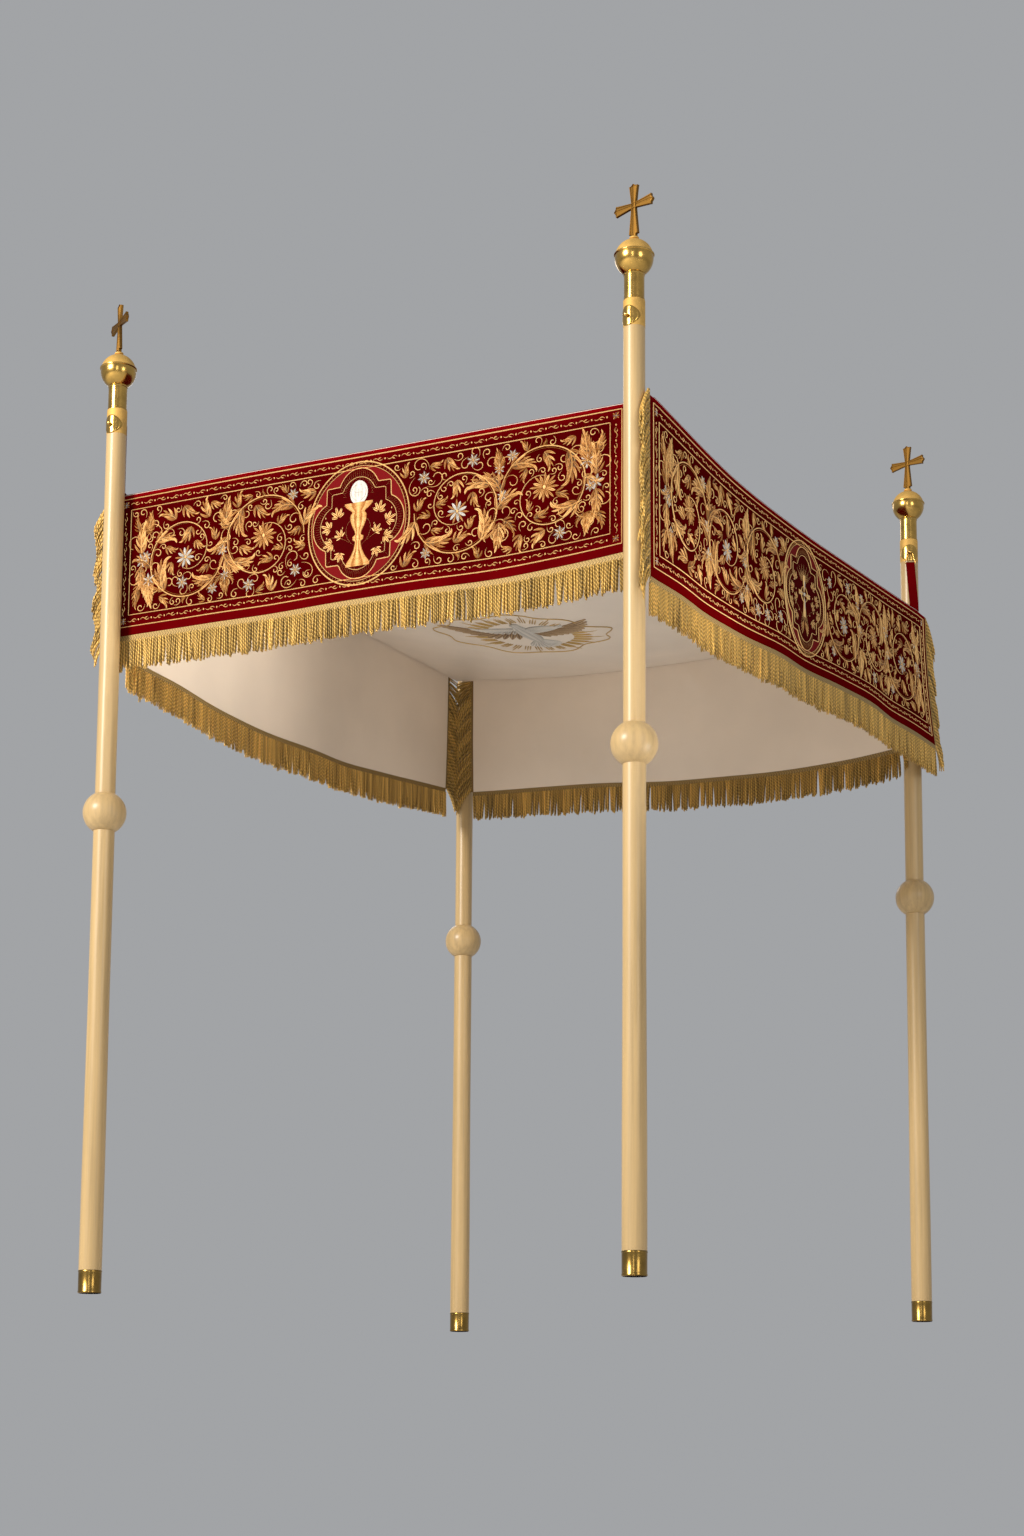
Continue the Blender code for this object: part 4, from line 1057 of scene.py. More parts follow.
class Strokes:
    """Curved strokes of one thread. Each starts at a place and heading in radians, and its
    heading turns by first * t + second * t squared as t goes from 0 to 1 along its length."""

    def __init__(self):
        self.rows = []
        self.paths = []

    def curl(self, place, heading, length, first, second, width, taper, height=0.0014, tone=0.5):
        """Add a stroke that leaves a place at a heading."""
        self.rows.append((*place, heading, length, first, second, width, *taper, height, tone))

    def path(self, points, width, taper, height=0.0014, tone=0.5, closed=False, count=64):
        """Add a stroke along given points, spread evenly by distance."""
        points = np.asarray(points, float)
        if closed:
            points = np.concatenate((points, points[:1]))
        line, _, length = spread(points, count, closed)
        self.paths.append((line, width, taper, height, tone, closed, length))

    @staticmethod
    def lines(table, steps):
        """Points along the strokes of a table: headings summed up step by step."""
        x, y, heading, length, first, second = table.T[:6, :, None]
        t = np.linspace(0, 1, steps)
        middle = (t[1:] + t[:-1]) / 2
        angle = heading + first * middle + second * middle ** 2
        step = length / (steps - 1)
        start = np.zeros((len(table), 1))
        line_x = x + np.concatenate((start, np.cumsum(np.cos(angle) * step, axis=1)), axis=1)
        line_y = y + np.concatenate((start, np.cumsum(np.sin(angle) * step, axis=1)), axis=1)
        return np.stack((line_x, line_y), axis=-1)

    def covered(self):
        """Every place that the strokes pass, for finding gaps."""
        points = [line for line, *_ in self.paths]
        if self.rows:
            points.append(self.lines(np.array(self.rows), 14).reshape(-1, 2))
        return np.concatenate(points) if points else np.zeros((0, 2))

    def parts(self, place_point):
        """All strokes as tubes, laid on a surface by place_point(x, y, height)."""
        result = []
        table = np.array(self.rows) if self.rows else np.zeros((0, 11))
        left = np.ones(len(table), bool)
        for shortest, slimmest, least_turn, section, steps in STROKE_KINDS:
            chosen = left & (table[:, 3] >= shortest) & (table[:, 6] >= slimmest)
            chosen &= np.abs(table[:, 4] + table[:, 5]) >= least_turn
            left &= ~chosen
            if chosen.any():
                rows = table[chosen]
                t = np.linspace(0, 1, steps)[None]
                width, rise, fall, height, tone = rows.T[6:, :, None]
                travelled = rows[:, 3:4] * t
                result.append(self.loft(self.lines(rows, steps), SECTIONS[section], width, (rise, fall),
                    height, tone, travelled, t, place_point, False))
        for line, width, taper, height, tone, closed, length in self.paths:
            t = np.linspace(0, 1, len(line))[None]
            result.append(self.loft(line[None], SECTIONS["thin"], width, taper, height, tone, length * t, t,
                place_point, closed))
        return result

    @staticmethod
    def loft(line, section, width, taper, height, tone, travelled, t, place_point, closed):
        """Carry a section along lines (stroke, point, 2): half width swells as
        t ** rise * (1 - t) ** fall, and the crest follows its square root."""
        if closed:
            ahead = np.roll(line, -1, axis=1) - np.roll(line, 1, axis=1)
            swell = np.ones(line.shape[:2])
        else:
            ahead = np.gradient(line, axis=1)
            rise, fall = taper
            peak = rise / (rise + fall)
            inside = np.clip(t, 0.006, 0.994)
            swell = inside ** rise * (1 - inside) ** fall / (peak ** rise * (1 - peak) ** fall)
            swell = np.broadcast_to(swell, line.shape[:2])
        ahead = ahead / np.maximum(np.linalg.norm(ahead, axis=2, keepdims=True), 1e-9)
        beside = np.stack((-ahead[..., 1], ahead[..., 0]), axis=-1)
        across = (width * swell)[..., None] * section[:, 0]
        spot = line[:, :, None] + across[..., None] * beside[:, :, None]
        lift = (height * np.sqrt(swell))[..., None] * section[:, 1] - SINK * (section[:, 1] < 0)
        rings = place_point(spot[..., 0], spot[..., 1], lift)
        # Painted highlight on each section's crests and painted shade at its edges and groove, then darker at
        # the stroke's start and lighter at its end.
        shade = np.broadcast_to(tone, line.shape[:2])[..., None] + section[:, 2]
        shade = shade + 0.34 * (np.broadcast_to(t, line.shape[:2])[..., None] - 0.5)
        return tube_part(rings, np.broadcast_to(travelled, line.shape[:2]), np.clip(shade, 0, 1), closed)


def direction(angle):
    """Unit vector at an angle in radians."""
    return np.array((cos(angle), sin(angle)))


def dot(strokes, place, radius, height=0.0016, tone=0.65):
    """Small domed dot."""
    start = place - np.array((0.0, radius))
    strokes.curl(start, pi / 2, radius * 2, 0.0, 0.0, radius, (0.5, 0.5), height, tone)


def tendril(gold, place, heading, length, turn, width=0.0011, tone=0.55):
    """Thin stem that winds up at its end."""
    gold.curl(place, heading, length, turn * 0.25, turn * 0.75, width, CLUB, 0.0015, tone)


def acanthus(gold, place, heading, length, width, curl, lobes=4, tone=0.5):
    """Scrolling leaf: a dark blade, a light curved rib on it, and pairs of light lobes that leave
    the rib and bend forward."""
    # The blade's dark tone is painted shade under and between the lobes.
    gold.curl(place, heading, length * 0.84, curl * 0.84, 0.0, width * 0.36, LEAF, 0.0011, tone - 0.46)
    gold.curl(place, heading, length * 0.94, curl * 0.94, 0.0, length * 0.02 + 0.0007, STEM, 0.0028,
        tone + 0.3)
    steps = 40
    angle = heading + curl * np.linspace(0, 1, steps + 1)
    stride = circle(angle) * length / steps
    rib = place + np.concatenate(([[0, 0]], np.cumsum(stride[:-1], axis=0)))
    spacing = 0.78 * length / lobes
    for k in range(lobes):
        at = int((0.02 + 0.78 * k / lobes) * steps)
        size = width * (1.24 - 0.66 * k / lobes)
        for sign in (-1, 1):
            lean = 0.98 - 0.3 * k / lobes
            gold.curl(rib[at], angle[at] + sign * lean, size * 1.22, -sign * 1.2, sign * 0.5,
                min(spacing * 0.3, size * 0.17), LEAF, 0.0024, tone - 0.08 + 0.2 * (k % 2) + 0.06 * sign)
    tip = int(0.78 * steps)
    gold.curl(rib[tip], angle[tip], length * 0.32, curl * 0.5, curl * 0.5,
        min(spacing * 0.34, width * 0.18), LEAF, 0.0024, tone + 0.14)


def vine_leaf(gold, place, heading, size, tone=0.5):
    """Five-pointed leaf: broad veined lobes fanned from the stalk, the middle one longest."""
    for k, reach in ((-2, 0.64), (-1, 0.86), (0, 1.0), (1, 0.86), (2, 0.64)):
        gold.curl(place, heading + k * 0.6, size * reach, 0.08 * k, 0.0, size * 0.165, LEAF, 0.0024,
            tone + 0.06 * (k % 2))


def blossom(petals, heart, place, size, count, turn=0.0, tone=0.55):
    """Flower of pointed veined petals, with fine points between them and a ring of dots around
    a domed heart in another thread."""
    for k in range(count):
        angle = turn + tau * k / count
        petals.curl(place + direction(angle) * size * 0.1, angle, size * 0.9, 0.1, 0.0,
            size * min(0.24, 1.2 / count), LOBE, 0.0023, tone - 0.16 * (k % 2))
        between = angle + pi / count
        heart.curl(place + direction(between) * size * 0.2, between, size * 0.56, 0.0, 0.0, 0.001, STEM,
            0.0019, 0.8)
        if size > 0.014:
            dot(heart, place + direction(between) * size * 0.3, size * 0.055, 0.0031, 0.9)
    dot(heart, place, size * 0.19, 0.003, 0.72)


def rosette(petals, leaves, place, size, count, turn=0.0):
    """Large flower: long leaf points showing between broad petals."""
    for k in range(count):
        angle = turn + tau * (k + 0.5) / count
        leaves.curl(place + direction(angle) * size * 0.25, angle, size * 0.85, 0.0, 0.0, size * 0.1, LOBE,
            0.0018, 0.4)
    blossom(petals, leaves, place, size * 0.92, count, turn, 0.58)


class Field:
    """Limits of the space that the vine fills, and what keeps a stroke inside it."""

    def __init__(self, low, high, seed):
        self.low = np.array(low)
        self.high = np.array(high)
        self.chance = np.random.RandomState(seed)

    def fit(self, place, heading, turn, length, margin=0.006):
        """Length shortened until the stroke's end lies inside the field."""
        for _ in range(12):
            tip = place + length * direction(heading + turn * 0.5)
            if ((tip > self.low + margin) & (tip < self.high - margin)).all():
                break
            length *= 0.86
        return length

    def leaf(self, gold, place, heading, length, slim, turn, lobes, tone=0.5):
        """Acanthus leaf of a jittered size that stays inside the field."""
        length = self.fit(place, heading, turn, length * self.chance.uniform(0.9, 1.12))
        if length > 0.016:
            acanthus(gold, place, heading, length, length * slim, turn, lobes,
                tone + self.chance.uniform(-0.16, 0.12))

    def curl(self, gold, place, heading, length, turn):
        """Tendril that stays inside the field."""
        length = length * self.chance.uniform(0.85, 1.15)
        reach = self.fit(place, heading, turn * 0.4, length * 0.42)
        tendril(gold, place, heading, min(length, reach / 0.42), turn, 0.0017,
            0.74 + self.chance.uniform(-0.12, 0.12))


def field_scroll(field, gold, silver, centre, radius, spin, number):
    """One scroll of the vine with its leaves and tendrils, and a large flower at its eye.

    The radius holds for a third of the sweep, then shrinks steadily to the eye.
    """
    last = 89
    t = np.linspace(0, 1, last + 1)
    hold = 0.34
    shrink = np.clip((t - hold) / (1 - hold), 0, 1) ** 1.15
    reach = radius * 0.34 ** shrink
    angle = pi + spin * tau * 1.3 * t
    line = centre + reach[:, None] * circle(angle)
    gold.path(line, 0.0022, (0.05, 0.22), 0.0024, 0.84, count=56)
    gold.path((line + 0.045 * (centre - line))[:52], 0.0008, (0.1, 0.3), 0.0013, 0.42, count=30)
    ahead = np.gradient(line, axis=0)
    heading = np.arctan2(ahead[:, 1], ahead[:, 0])
    leaves = ((0.03, -1, 0.62, 4), (0.1, 1, 0.7, 5), (0.2, -1, 0.78, 5), (0.27, 1, 0.76, 5),
        (0.36, -1, 0.6, 4), (0.44, 1, 0.6, 4))
    for share, inside, size, lobes in leaves:
        at = int(share * last)
        side = spin * inside
        field.leaf(gold, line[at], heading[at] + side * 0.45, radius * size, 0.36, side * 1.2, lobes, 0.5)
    for share, inside, size in ((0.06, 1, 0.62), (0.13, 1, 0.55), (0.19, -1, 0.55), (0.27, 1, 0.6),
            (0.33, -1, 0.5), (0.41, 1, 0.5), (0.46, -1, 0.46), (0.5, 1, 0.44), (0.62, -1, 0.38),
            (0.66, 1, 0.34), (0.75, -1, 0.28)):
        at = int(share * last)
        side = spin * inside
        field.curl(gold, line[at], heading[at] + side * 0.55, radius * size, side * 5.4)
    eye = line[-1] * 0.3 + centre * 0.7
    if number % 2 == 0:
        rosette(silver, gold, eye, radius * 0.25, 7, 0.3 + number)
    else:
        rosette(gold, gold, eye, radius * 0.3, 8, 0.1 + number)
    for share in (0.12, 0.4):
        at = int(share * last)
        out = line[at] + (line[at] - centre) * 0.16
        if field.fit(out, 0.0, 0.0, 0.001) == 0.001:
            blossom(silver, gold, out, 0.015, 7, share * 9)


def spandrel(field, gold, silver, place, up, size, bloom):
    """Spray that fills the space between two scrolls: a leaf, two side leaves and four
    tendrils, with a small flower at its root. up is 1 for a spray that points up."""
    heading = up * pi / 2
    field.leaf(gold, place, heading, size, 0.36, 0.25 * up, 5, 0.55)
    for sign in (-1, 1):
        root = place + np.array((sign * size * 0.14, -up * size * 0.05))
        field.leaf(gold, root, heading + sign * 1.15, size * 0.7, 0.3, -sign * 1.1, 4, 0.46)
        field.curl(gold, root, heading + sign * 0.45, size * 1.3, -sign * 5.2)
        field.curl(gold, root, heading + sign * 1.9, size, sign * 5.2)
    if bloom:
        blossom(silver, gold, place, size * 0.26, 6, 0.4)


def end_piece(field, gold, silver, x, middle, tall):
    """Upright spray at the outer end of the field, the same above and below its flower."""
    for up in (-1, 1):
        root = (x, middle + up * 0.012)
        field.curl(gold, root, up * 1.2, tall * 0.6, up * 5.0)
        field.curl(gold, root, pi - up * 1.2, tall * 0.55, -up * 5.0)
        for shift, rise, heading, size, slim, turn, lobes, tone in (
                (0, 0.07, pi / 2 - 0.15, 0.28, 0.3, 0.5, 5, 0.56), (-0.012, 0.27, 2.2, 0.19, 0.34, -0.8, 4,
                    0.5),
                (0.006, 0.29, 1.0, 0.18, 0.34, 0.7, 4, 0.5)):
            field.leaf(gold, (x + shift, middle + up * tall * rise), up * heading, tall * size, slim,
                up * turn, lobes, tone)
    blossom(silver, gold, (x, middle), 0.019, 6, 0.2)


def gap_map(points, low, high, cell):
    """How many cells each grid place lies from the nearest stroke or edge, found by
    shrinking the empty area one cell at a time, squarely and slantwise by turns."""
    columns, rows = ((high - low) / cell).astype(int) + 1
    empty = np.zeros((rows, columns), bool)
    empty[1:-1, 1:-1] = True
    at = ((points - low) / cell).round().astype(int)
    at = at[((at >= 0) & (at < (columns, rows))).all(axis=1)]
    empty[at[:, 1], at[:, 0]] = False
    distance = np.zeros(empty.shape, int)
    turn = 0
    while empty.any():
        distance += empty
        core = np.zeros_like(empty)
        inner = empty[1:-1, 1:-1] & empty[:-2, 1:-1] & empty[2:, 1:-1] & empty[1:-1, :-2] & empty[1:-1, 2:]
        if turn % 2:
            inner &= empty[:-2, :-2] & empty[2:, 2:] & empty[2:, :-2] & empty[:-2, 2:]
        core[1:-1, 1:-1] = inner
        empty = core
        turn += 1
    return distance


def fill_gaps(field, gold, silver, blocked, narrowest):
    """Put a motif into the largest gap, over and over, until only narrow ones are left."""
    cell = 0.002
    flowers = 0
    for _ in range(90):
        points = np.concatenate((gold.covered(), silver.covered(), blocked))
        distance = gap_map(points, field.low, field.high, cell)
        row, column = np.unravel_index(int(distance.argmax()), distance.shape)
        room = float(distance[row, column]) * cell
        if room < narrowest:
            break
        spot = field.low + np.array((column, row)) * cell
        turn = field.chance.uniform(0, tau)
        side = 1 if field.chance.uniform() < 0.5 else -1
        if room > 0.019 and flowers < 3:
            flowers += 1
            blossom(silver, gold, spot, min(room * 0.8, 0.017), 7, turn)
            for k in range(3):
                tendril(gold, spot + direction(turn + 2.1 * k) * room * 0.5, turn + 2.1 * k + 0.8,
                    room * 1.9, 5.0, 0.0015, 0.84)
        elif room > 0.0175:
            acanthus(gold, spot - direction(turn) * room * 0.85, turn - side * 0.35, room * 1.8,
                room * 0.72, side * 0.9, 3, field.chance.uniform(0.42, 0.62))
        else:
            start = spot - direction(turn) * room * 0.75
            tendril(gold, start, turn - side * 0.9, room * 3.4, side * 6.2, 0.0017, 0.84)


def half_field(gold, silver, start, stop, low, high, seed, narrowest):
    """The vine of one half of a side, from the medallion out to the border."""
    field = Field((start - 0.1, low), (stop, high), seed)
    middle = (low + high) / 2
    tall = high - low
    room = stop - start - 0.07
    count = max(1, round(room / (tall * 0.8)))
    pitch = room / count
    radius = min(pitch / 2, tall * 0.405)
    for k in range(count):
        centre = np.array((start + 0.012 + pitch * (k + 0.5), middle))
        spin = 1 if (k + seed) % 2 == 0 else -1
        field_scroll(field, gold, silver, centre, radius, spin, k + seed)
        edge = centre[0] + pitch / 2
        spandrel(field, gold, silver, (edge, middle - spin * tall * 0.2), -spin, tall * 0.27, k % 2 == 1)
        spandrel(field, gold, silver, (edge, middle + spin * tall * 0.27), spin, tall * 0.19, k % 2 == 0)
    end_piece(field, gold, silver, stop - 0.036, middle, tall * 0.96)
    oval = circle(np.linspace(0, tau, 200)) * MEDALLION + (0.0, middle)
    filled = np.concatenate([oval * (share, 1) for share in np.linspace(0, 1.03, 60)])
    fill_gaps(field, gold, silver, filled, narrowest)


def border(gold, silver, half_width, low, high):
    """Two couched lines around the side, and between them curled sprigs with dots."""
    for inset, wide in ((0.0, 0.0019), (BAND, 0.0017)):
        right, bottom, top = half_width - inset, low + inset, high - inset
        runs = (((-right, top), (right, top), 70), ((-right, bottom), (right, bottom), 70),
            ((-right, bottom), (-right, top), 16), ((right, bottom), (right, top), 16))
        for start, stop, count in runs:
            gold.path((start, stop), wide, EVEN, 0.0022, 1.0, count=count)
    centre = BAND / 2
    runs = ((-half_width + BAND, half_width - BAND, high - centre, False, 1),
        (-half_width + BAND, half_width - BAND, low + centre, False, -1),
        (low + BAND, high - BAND, -half_width + centre, True, 1),
        (low + BAND, high - BAND, half_width - centre, True, -1))
    for start, stop, level, upright, facing in runs:
        units = max(2, round((stop - start) / 0.039))
        pitch = (stop - start) / units
        turn = pi / 2 if upright else 0.0
        for k in range(units):
            spot = start + (k + 0.3) * pitch
            root = np.array((level, spot) if upright else (spot, level))
            side = facing if k % 2 else -facing
            gold.curl(root, turn + side * 0.9, pitch * 0.4, -side * 1.9, 0.0, 0.0014, STEM, 0.0016, 0.84)
            gold.curl(root, turn + pi + side * 0.9, pitch * 0.4, -side * 1.9, 0.0, 0.0014, STEM, 0.0016,
                0.8)
            gold.curl(root, turn - side * 0.9, pitch * 0.26, side * 1.0, 0.0, 0.0018, LEAF, 0.0016, 0.84)
            spot = start + (k + 0.8) * pitch
            dot(gold, (level, spot) if upright else (spot, level), 0.0027, 0.002, 0.88)
    for side_x in (-1, 1):
        for y in (low + centre, high - centre):
            blossom(gold, silver, (side_x * (half_width - centre), y), 0.0105, 4, pi / 4)


def barbed_quatrefoil(scale, steps):
    """Outline of four round lobes with a square corner between each pair, in shares of the
    medallion's half axes."""
    points = []
    for k in range(4):
        middle = k * pi / 2
        angles = middle + np.linspace(-1.22, 1.22, steps)
        lobe = direction(middle) * 0.5 + 0.4 * circle(angles)
        corner = direction(middle + pi / 4) * 0.63 * sqrt(2)
        points += [lobe, [corner]]
    return np.concatenate(points) * scale * np.array(MEDALLION)


def patch_part(outline, centre, place_point, height):
    """Flat appliqué: rings of the outline shrunk towards its centre, closed underneath."""
    shares = np.linspace(1.0, 0.06, 5)
    flat = centre + shares[:, None, None] * outline
    top = place_point(flat[..., 0], flat[..., 1], np.full(flat.shape[:2], height))
    under = flat[::-1]
    bottom = place_point(under[..., 0], under[..., 1], np.full(flat.shape[:2], -0.0005))
    rings = np.concatenate((top[::-1], bottom[::-1]))
    return tube_part(rings, np.linspace(0, 0.3, len(rings)))


def medallion_frame(gold, centre):
    """Oval of two cords, barbed quatrefoil of two cords, and short stitches between each pair."""
    axes = np.array(MEDALLION)
    ring = circle(np.linspace(0, tau, 97)[:-1])
    gold.path(centre + axes * ring, 0.0024, EVEN, 0.003, 1.0, closed=True, count=110)
    gold.path(centre + axes * 0.935 * ring, 0.0014, EVEN, 0.0022, 0.86, closed=True, count=90)
    gold.path(centre + barbed_quatrefoil(1.0, 14), 0.0024, EVEN, 0.003, 1.0, closed=True, count=140)
    gold.path(centre + barbed_quatrefoil(0.84, 14), 0.002, EVEN, 0.0028, 0.98, closed=True, count=120)
    for outline, outer, inner in ((axes * ring, 0.985, 0.95), (barbed_quatrefoil(1.0, 23), 0.975, 0.865)):
        for spot in outline:
            gap = spot * (inner - outer)
            gold.curl(centre + spot * outer, np.arctan2(gap[1], gap[0]), np.linalg.norm(gap), 0, 0, 0.0009,
                EVEN, 0.0018, 0.44)


def filled_part(centre, heights, widths, place_point, lift, tone):
    """Filled shape symmetrical about an upright line: rows of a rounded section as wide as the
    profile at each height, ribbed by two shallow grooves."""
    steps = 60
    at = np.linspace(0, 1, steps)
    y = np.interp(at, np.linspace(0, 1, len(heights)), heights)
    wide = np.interp(at, np.linspace(0, 1, len(widths)), widths)
    # Third column: painted highlight on the crests, painted shade at the edges and in the two grooves.
    section = np.array(((-1.0, -0.1, -0.35), (-0.86, 0.6, 0.0), (-0.52, 0.9, 0.12), (-0.4, 0.72, -0.18),
        (0.0, 1.0, 0.22), (0.4, 0.72, -0.18), (0.52, 0.9, 0.12), (0.86, 0.6, 0.0), (1.0, -0.1, -0.35)))
    x = centre[0] + wide[:, None] * section[:, 0]
    height = np.broadcast_to(lift * section[:, 1] - SINK * (section[:, 1] < 0), x.shape)
    rings = place_point(x, np.broadcast_to(centre[1] + y[:, None], x.shape), height)
    return tube_part(rings, y, np.clip(np.broadcast_to(tone + section[:, 2], (1, *x.shape)), 0, 1))


def rays(gold, centre, inner, outer, start, stop, count, width=0.0013):
    """Straight rays of two lengths, fanned between two angles."""
    for k in range(count):
        angle = start + (stop - start) * k / max(1, count - 1)
        long = outer if k % 2 == 0 else inner + (outer - inner) * 0.62
        root = centre + direction(angle) * inner
        gold.curl(root, angle, long - inner, 0, 0, width, (0.12, 0.7), 0.0017, 0.66)


def side_vine(gold, centre, side, leaves, grapes):
    """Vine leaves and round grapes at one side of a medallion."""
    for x, y, size, aim in leaves:
        vine_leaf(gold, centre + (side * x, y), aim if side > 0 else pi - aim, size * 1.38, 0.62)
    for x, y in grapes:
        dot(gold, centre + (side * x, y), 0.0032, 0.0026, 0.86)


def chalice_medallion(gold, silver, centre, place_point):
    """Cup on a flared foot with a round disc over it, rays, and vine at each side."""
    centre = centre + (0.0, -0.004)
    cup = ((-0.105, 0.036), (-0.101, 0.037), (-0.095, 0.035), (-0.08, 0.022), (-0.062, 0.0125),
        (-0.047, 0.009), (-0.042, 0.009), (-0.038, 0.0165), (-0.029, 0.017), (-0.025, 0.0085),
        (-0.016, 0.0105), (-0.002, 0.019), (0.012, 0.0245), (0.026, 0.025), (0.032, 0.019), (0.036, 0.0215),
        (0.043, 0.033), (0.05, 0.041), (0.057, 0.044))
    heights, widths = zip(*cup)
    gold_parts = [filled_part(centre, heights, widths, place_point, 0.004, 0.54)]
    for y, half in ((-0.097, 0.03), (-0.084, 0.02), (-0.0335, 0.015), (-0.006, 0.015), (0.02, 0.0225),
            (0.0335, 0.018), (0.0525, 0.04)):
        line = ((-half, y), (-half * 0.5, y - half * 0.1), (0, y - half * 0.13),
            (half * 0.5, y - half * 0.1), (half, y))
        gold.path(centre + np.array(line), 0.001, EVEN, 0.0053, 0.86, count=14)
    for side in (-1, 1):
        gold.curl(centre + (side * 0.004, 0.008), pi / 2 - side * 0.55, 0.022, side * 1.6, 0, 0.0013, LEAF,
            0.0053, 0.25)
        gold.curl(centre + (0, -0.058), -pi / 2 + side * 0.3, 0.034, side * 0.5, 0, 0.0012, LEAF, 0.005,
            0.25)
    turn = np.linspace(-pi / 2, pi / 2, 40)
    disc = centre + np.array((0.0, 0.082))
    silver_parts = [filled_part(disc, 0.031 * np.sin(turn), 0.0275 * np.cos(turn), place_point, 0.0034,
        0.74)]
    silver.path(disc + 0.0205 * circle(turn * 2), 0.0008, EVEN, 0.004, 0.4, closed=True, count=44)
    for start, stop in (((-0.009, 0), (0.009, 0)), ((0, -0.011), (0, 0.011))):
        silver.path((disc + start, disc + stop), 0.0011, EVEN, 0.0044, 0.35, count=8)
    rays(gold, disc, 0.034, 0.052, -0.15, pi + 0.15, 31)
    for side in (-1, 1):
        stem = centre + (side * 0.01, -0.052)
        heading = pi / 2 - side * 0.95
        gold.curl(stem, heading, 0.095, side * 1.1, side * 1.4, 0.0014, STEM, 0.0018, 0.55)
        gold.curl(stem + (side * 0.014, 0.01), heading, 0.09, -side * 0.3, -side * 1.4, 0.0014, STEM,
            0.0018, 0.55)
        side_vine(gold, centre, side, ((0.046, -0.026, 0.021, 0.9), (0.072, -0.038, 0.023, -0.3),
            (0.05, -0.064, 0.021, -1.4), (0.078, 0.0, 0.024, 0.4), (0.056, 0.026, 0.024, 1.3)),
            ((0.044, -0.002), (0.064, -0.02), (0.092, 0.03), (0.088, -0.022), (0.066, -0.056)))
    rays(gold, centre + (0, -0.106), 0.006, 0.022, -pi / 2 - 1.2, -pi / 2 + 1.2, 11)
    return gold_parts, silver_parts


def cross_medallion(gold, silver, centre):
    """Plain cross over a fan of rays, a sheaf below it, and vine at each side."""
    rays(gold, centre + (0, 0.03), 0.02, 0.098, pi / 2 - 0.8, pi / 2 + 0.8, 13, 0.0026)
    rays(gold, centre + (0, -0.018), 0.02, 0.098, -pi / 2 - 0.42, -pi / 2 + 0.42, 7, 0.0028)
    middle = centre + (0, 0.012)
    for angle, long in ((pi / 2, 0.052), (-pi / 2, 0.062), (0.0, 0.036), (pi, 0.036)):
        gold.curl(middle, angle, long, 0, 0, 0.0085, (0.8, 0.08), 0.0048, 0.86)
        silver.curl(middle + direction(angle) * 0.01, angle, long * 0.62, 0, 0, 0.0012, LEAF, 0.0062, 0.6)
    ring = middle + 0.021 * circle(np.linspace(0, tau, 49)[:-1])
    gold.path(ring, 0.0017, EVEN, 0.004, 0.8, closed=True, count=40)
    dot(silver, middle, 0.0055, 0.0064)
    for side in (-1, 1):
        for k in range(4):
            gold.curl(centre + (side * 0.004, -0.06), -pi / 2 + side * (0.16 + 0.2 * k), 0.05 - 0.006 * k,
                side * 0.5, 0, 0.0032, LEAF, 0.0024, 0.52)
        gold.curl(centre + (side * 0.01, -0.05), pi / 2 - side * 1.0, 0.11, side * 0.6, -side * 2.2, 0.0014,
            STEM, 0.0018, 0.55)
        side_vine(gold, centre, side, ((0.05, -0.048, 0.022, -0.9), (0.05, -0.014, 0.02, 0.6),
            (0.078, -0.026, 0.022, -0.3), (0.074, 0.008, 0.023, 0.4), (0.056, 0.038, 0.022, 1.1)),
            ((0.06, -0.026), (0.056, 0.014), (0.076, 0.048), (0.036, -0.038)))


def embroider(side, number):
    """All the embroidery of one side: border, vine, medallion and its cloth grounds."""
    low_along, high_along = along_range(side)
    half_width = (high_along - low_along) / 2 - LINE_SIDE
    low = -DESIGN_HEIGHT / 2 + LINE_BOTTOM
    high = DESIGN_HEIGHT / 2 - LINE_TOP
    centre = np.array((0.0, (low + high) / 2))
    place, mirrored = partial(design_point, side), partial(design_point, side, way=-1)
    gold, silver = Strokes(), Strokes()
    border(gold, silver, half_width, low, high)
    medallion_frame(gold, centre)
    gold_parts, silver_parts = [], []
    if side in ("front", "back"):
        gold_parts, silver_parts = chalice_medallion(gold, silver, centre, place)
    else:
        cross_medallion(gold, silver, centre)
    for half, way in enumerate((place, mirrored)):
        half_gold, half_silver = Strokes(), Strokes()
        half_field(half_gold, half_silver, MEDALLION[0], half_width - BAND, low + BAND, high - BAND,
            2 * number + half, NARROWEST[side])
        gold_parts += half_gold.parts(way)
        silver_parts += half_silver.parts(way)
    gold_parts += gold.parts(place)
    silver_parts += silver.parts(place)
    finish_piece(f"Gold_Embroidery_{side}", gold_parts, "gold_fringe", "gold", sharp=60)
    finish_piece(f"Silver_Embroidery_{side}", silver_parts, "satin_lining", "silver", sharp=60)
    oval = circle(np.linspace(0, tau, 73)[:-1]) * MEDALLION
    grounds = (("Ground", oval, 0.0004, "dark"), ("Spandrels", oval * 0.925, 0.0009, "bright"),
        ("Field", barbed_quatrefoil(1.0, 17), 0.0014, "dark"))
    for name, outline, height, material in grounds:
        finish_piece(f"Medallion_{name}_{side}", [patch_part(outline, centre, place, height)],
            "crimson_velvet", material)


# Place of the ceiling's design from the middle of the poles, and the way that the dove flies
DOVE_PLACE = (-0.14, 0.2)
DOVE_SIZE = 0.84


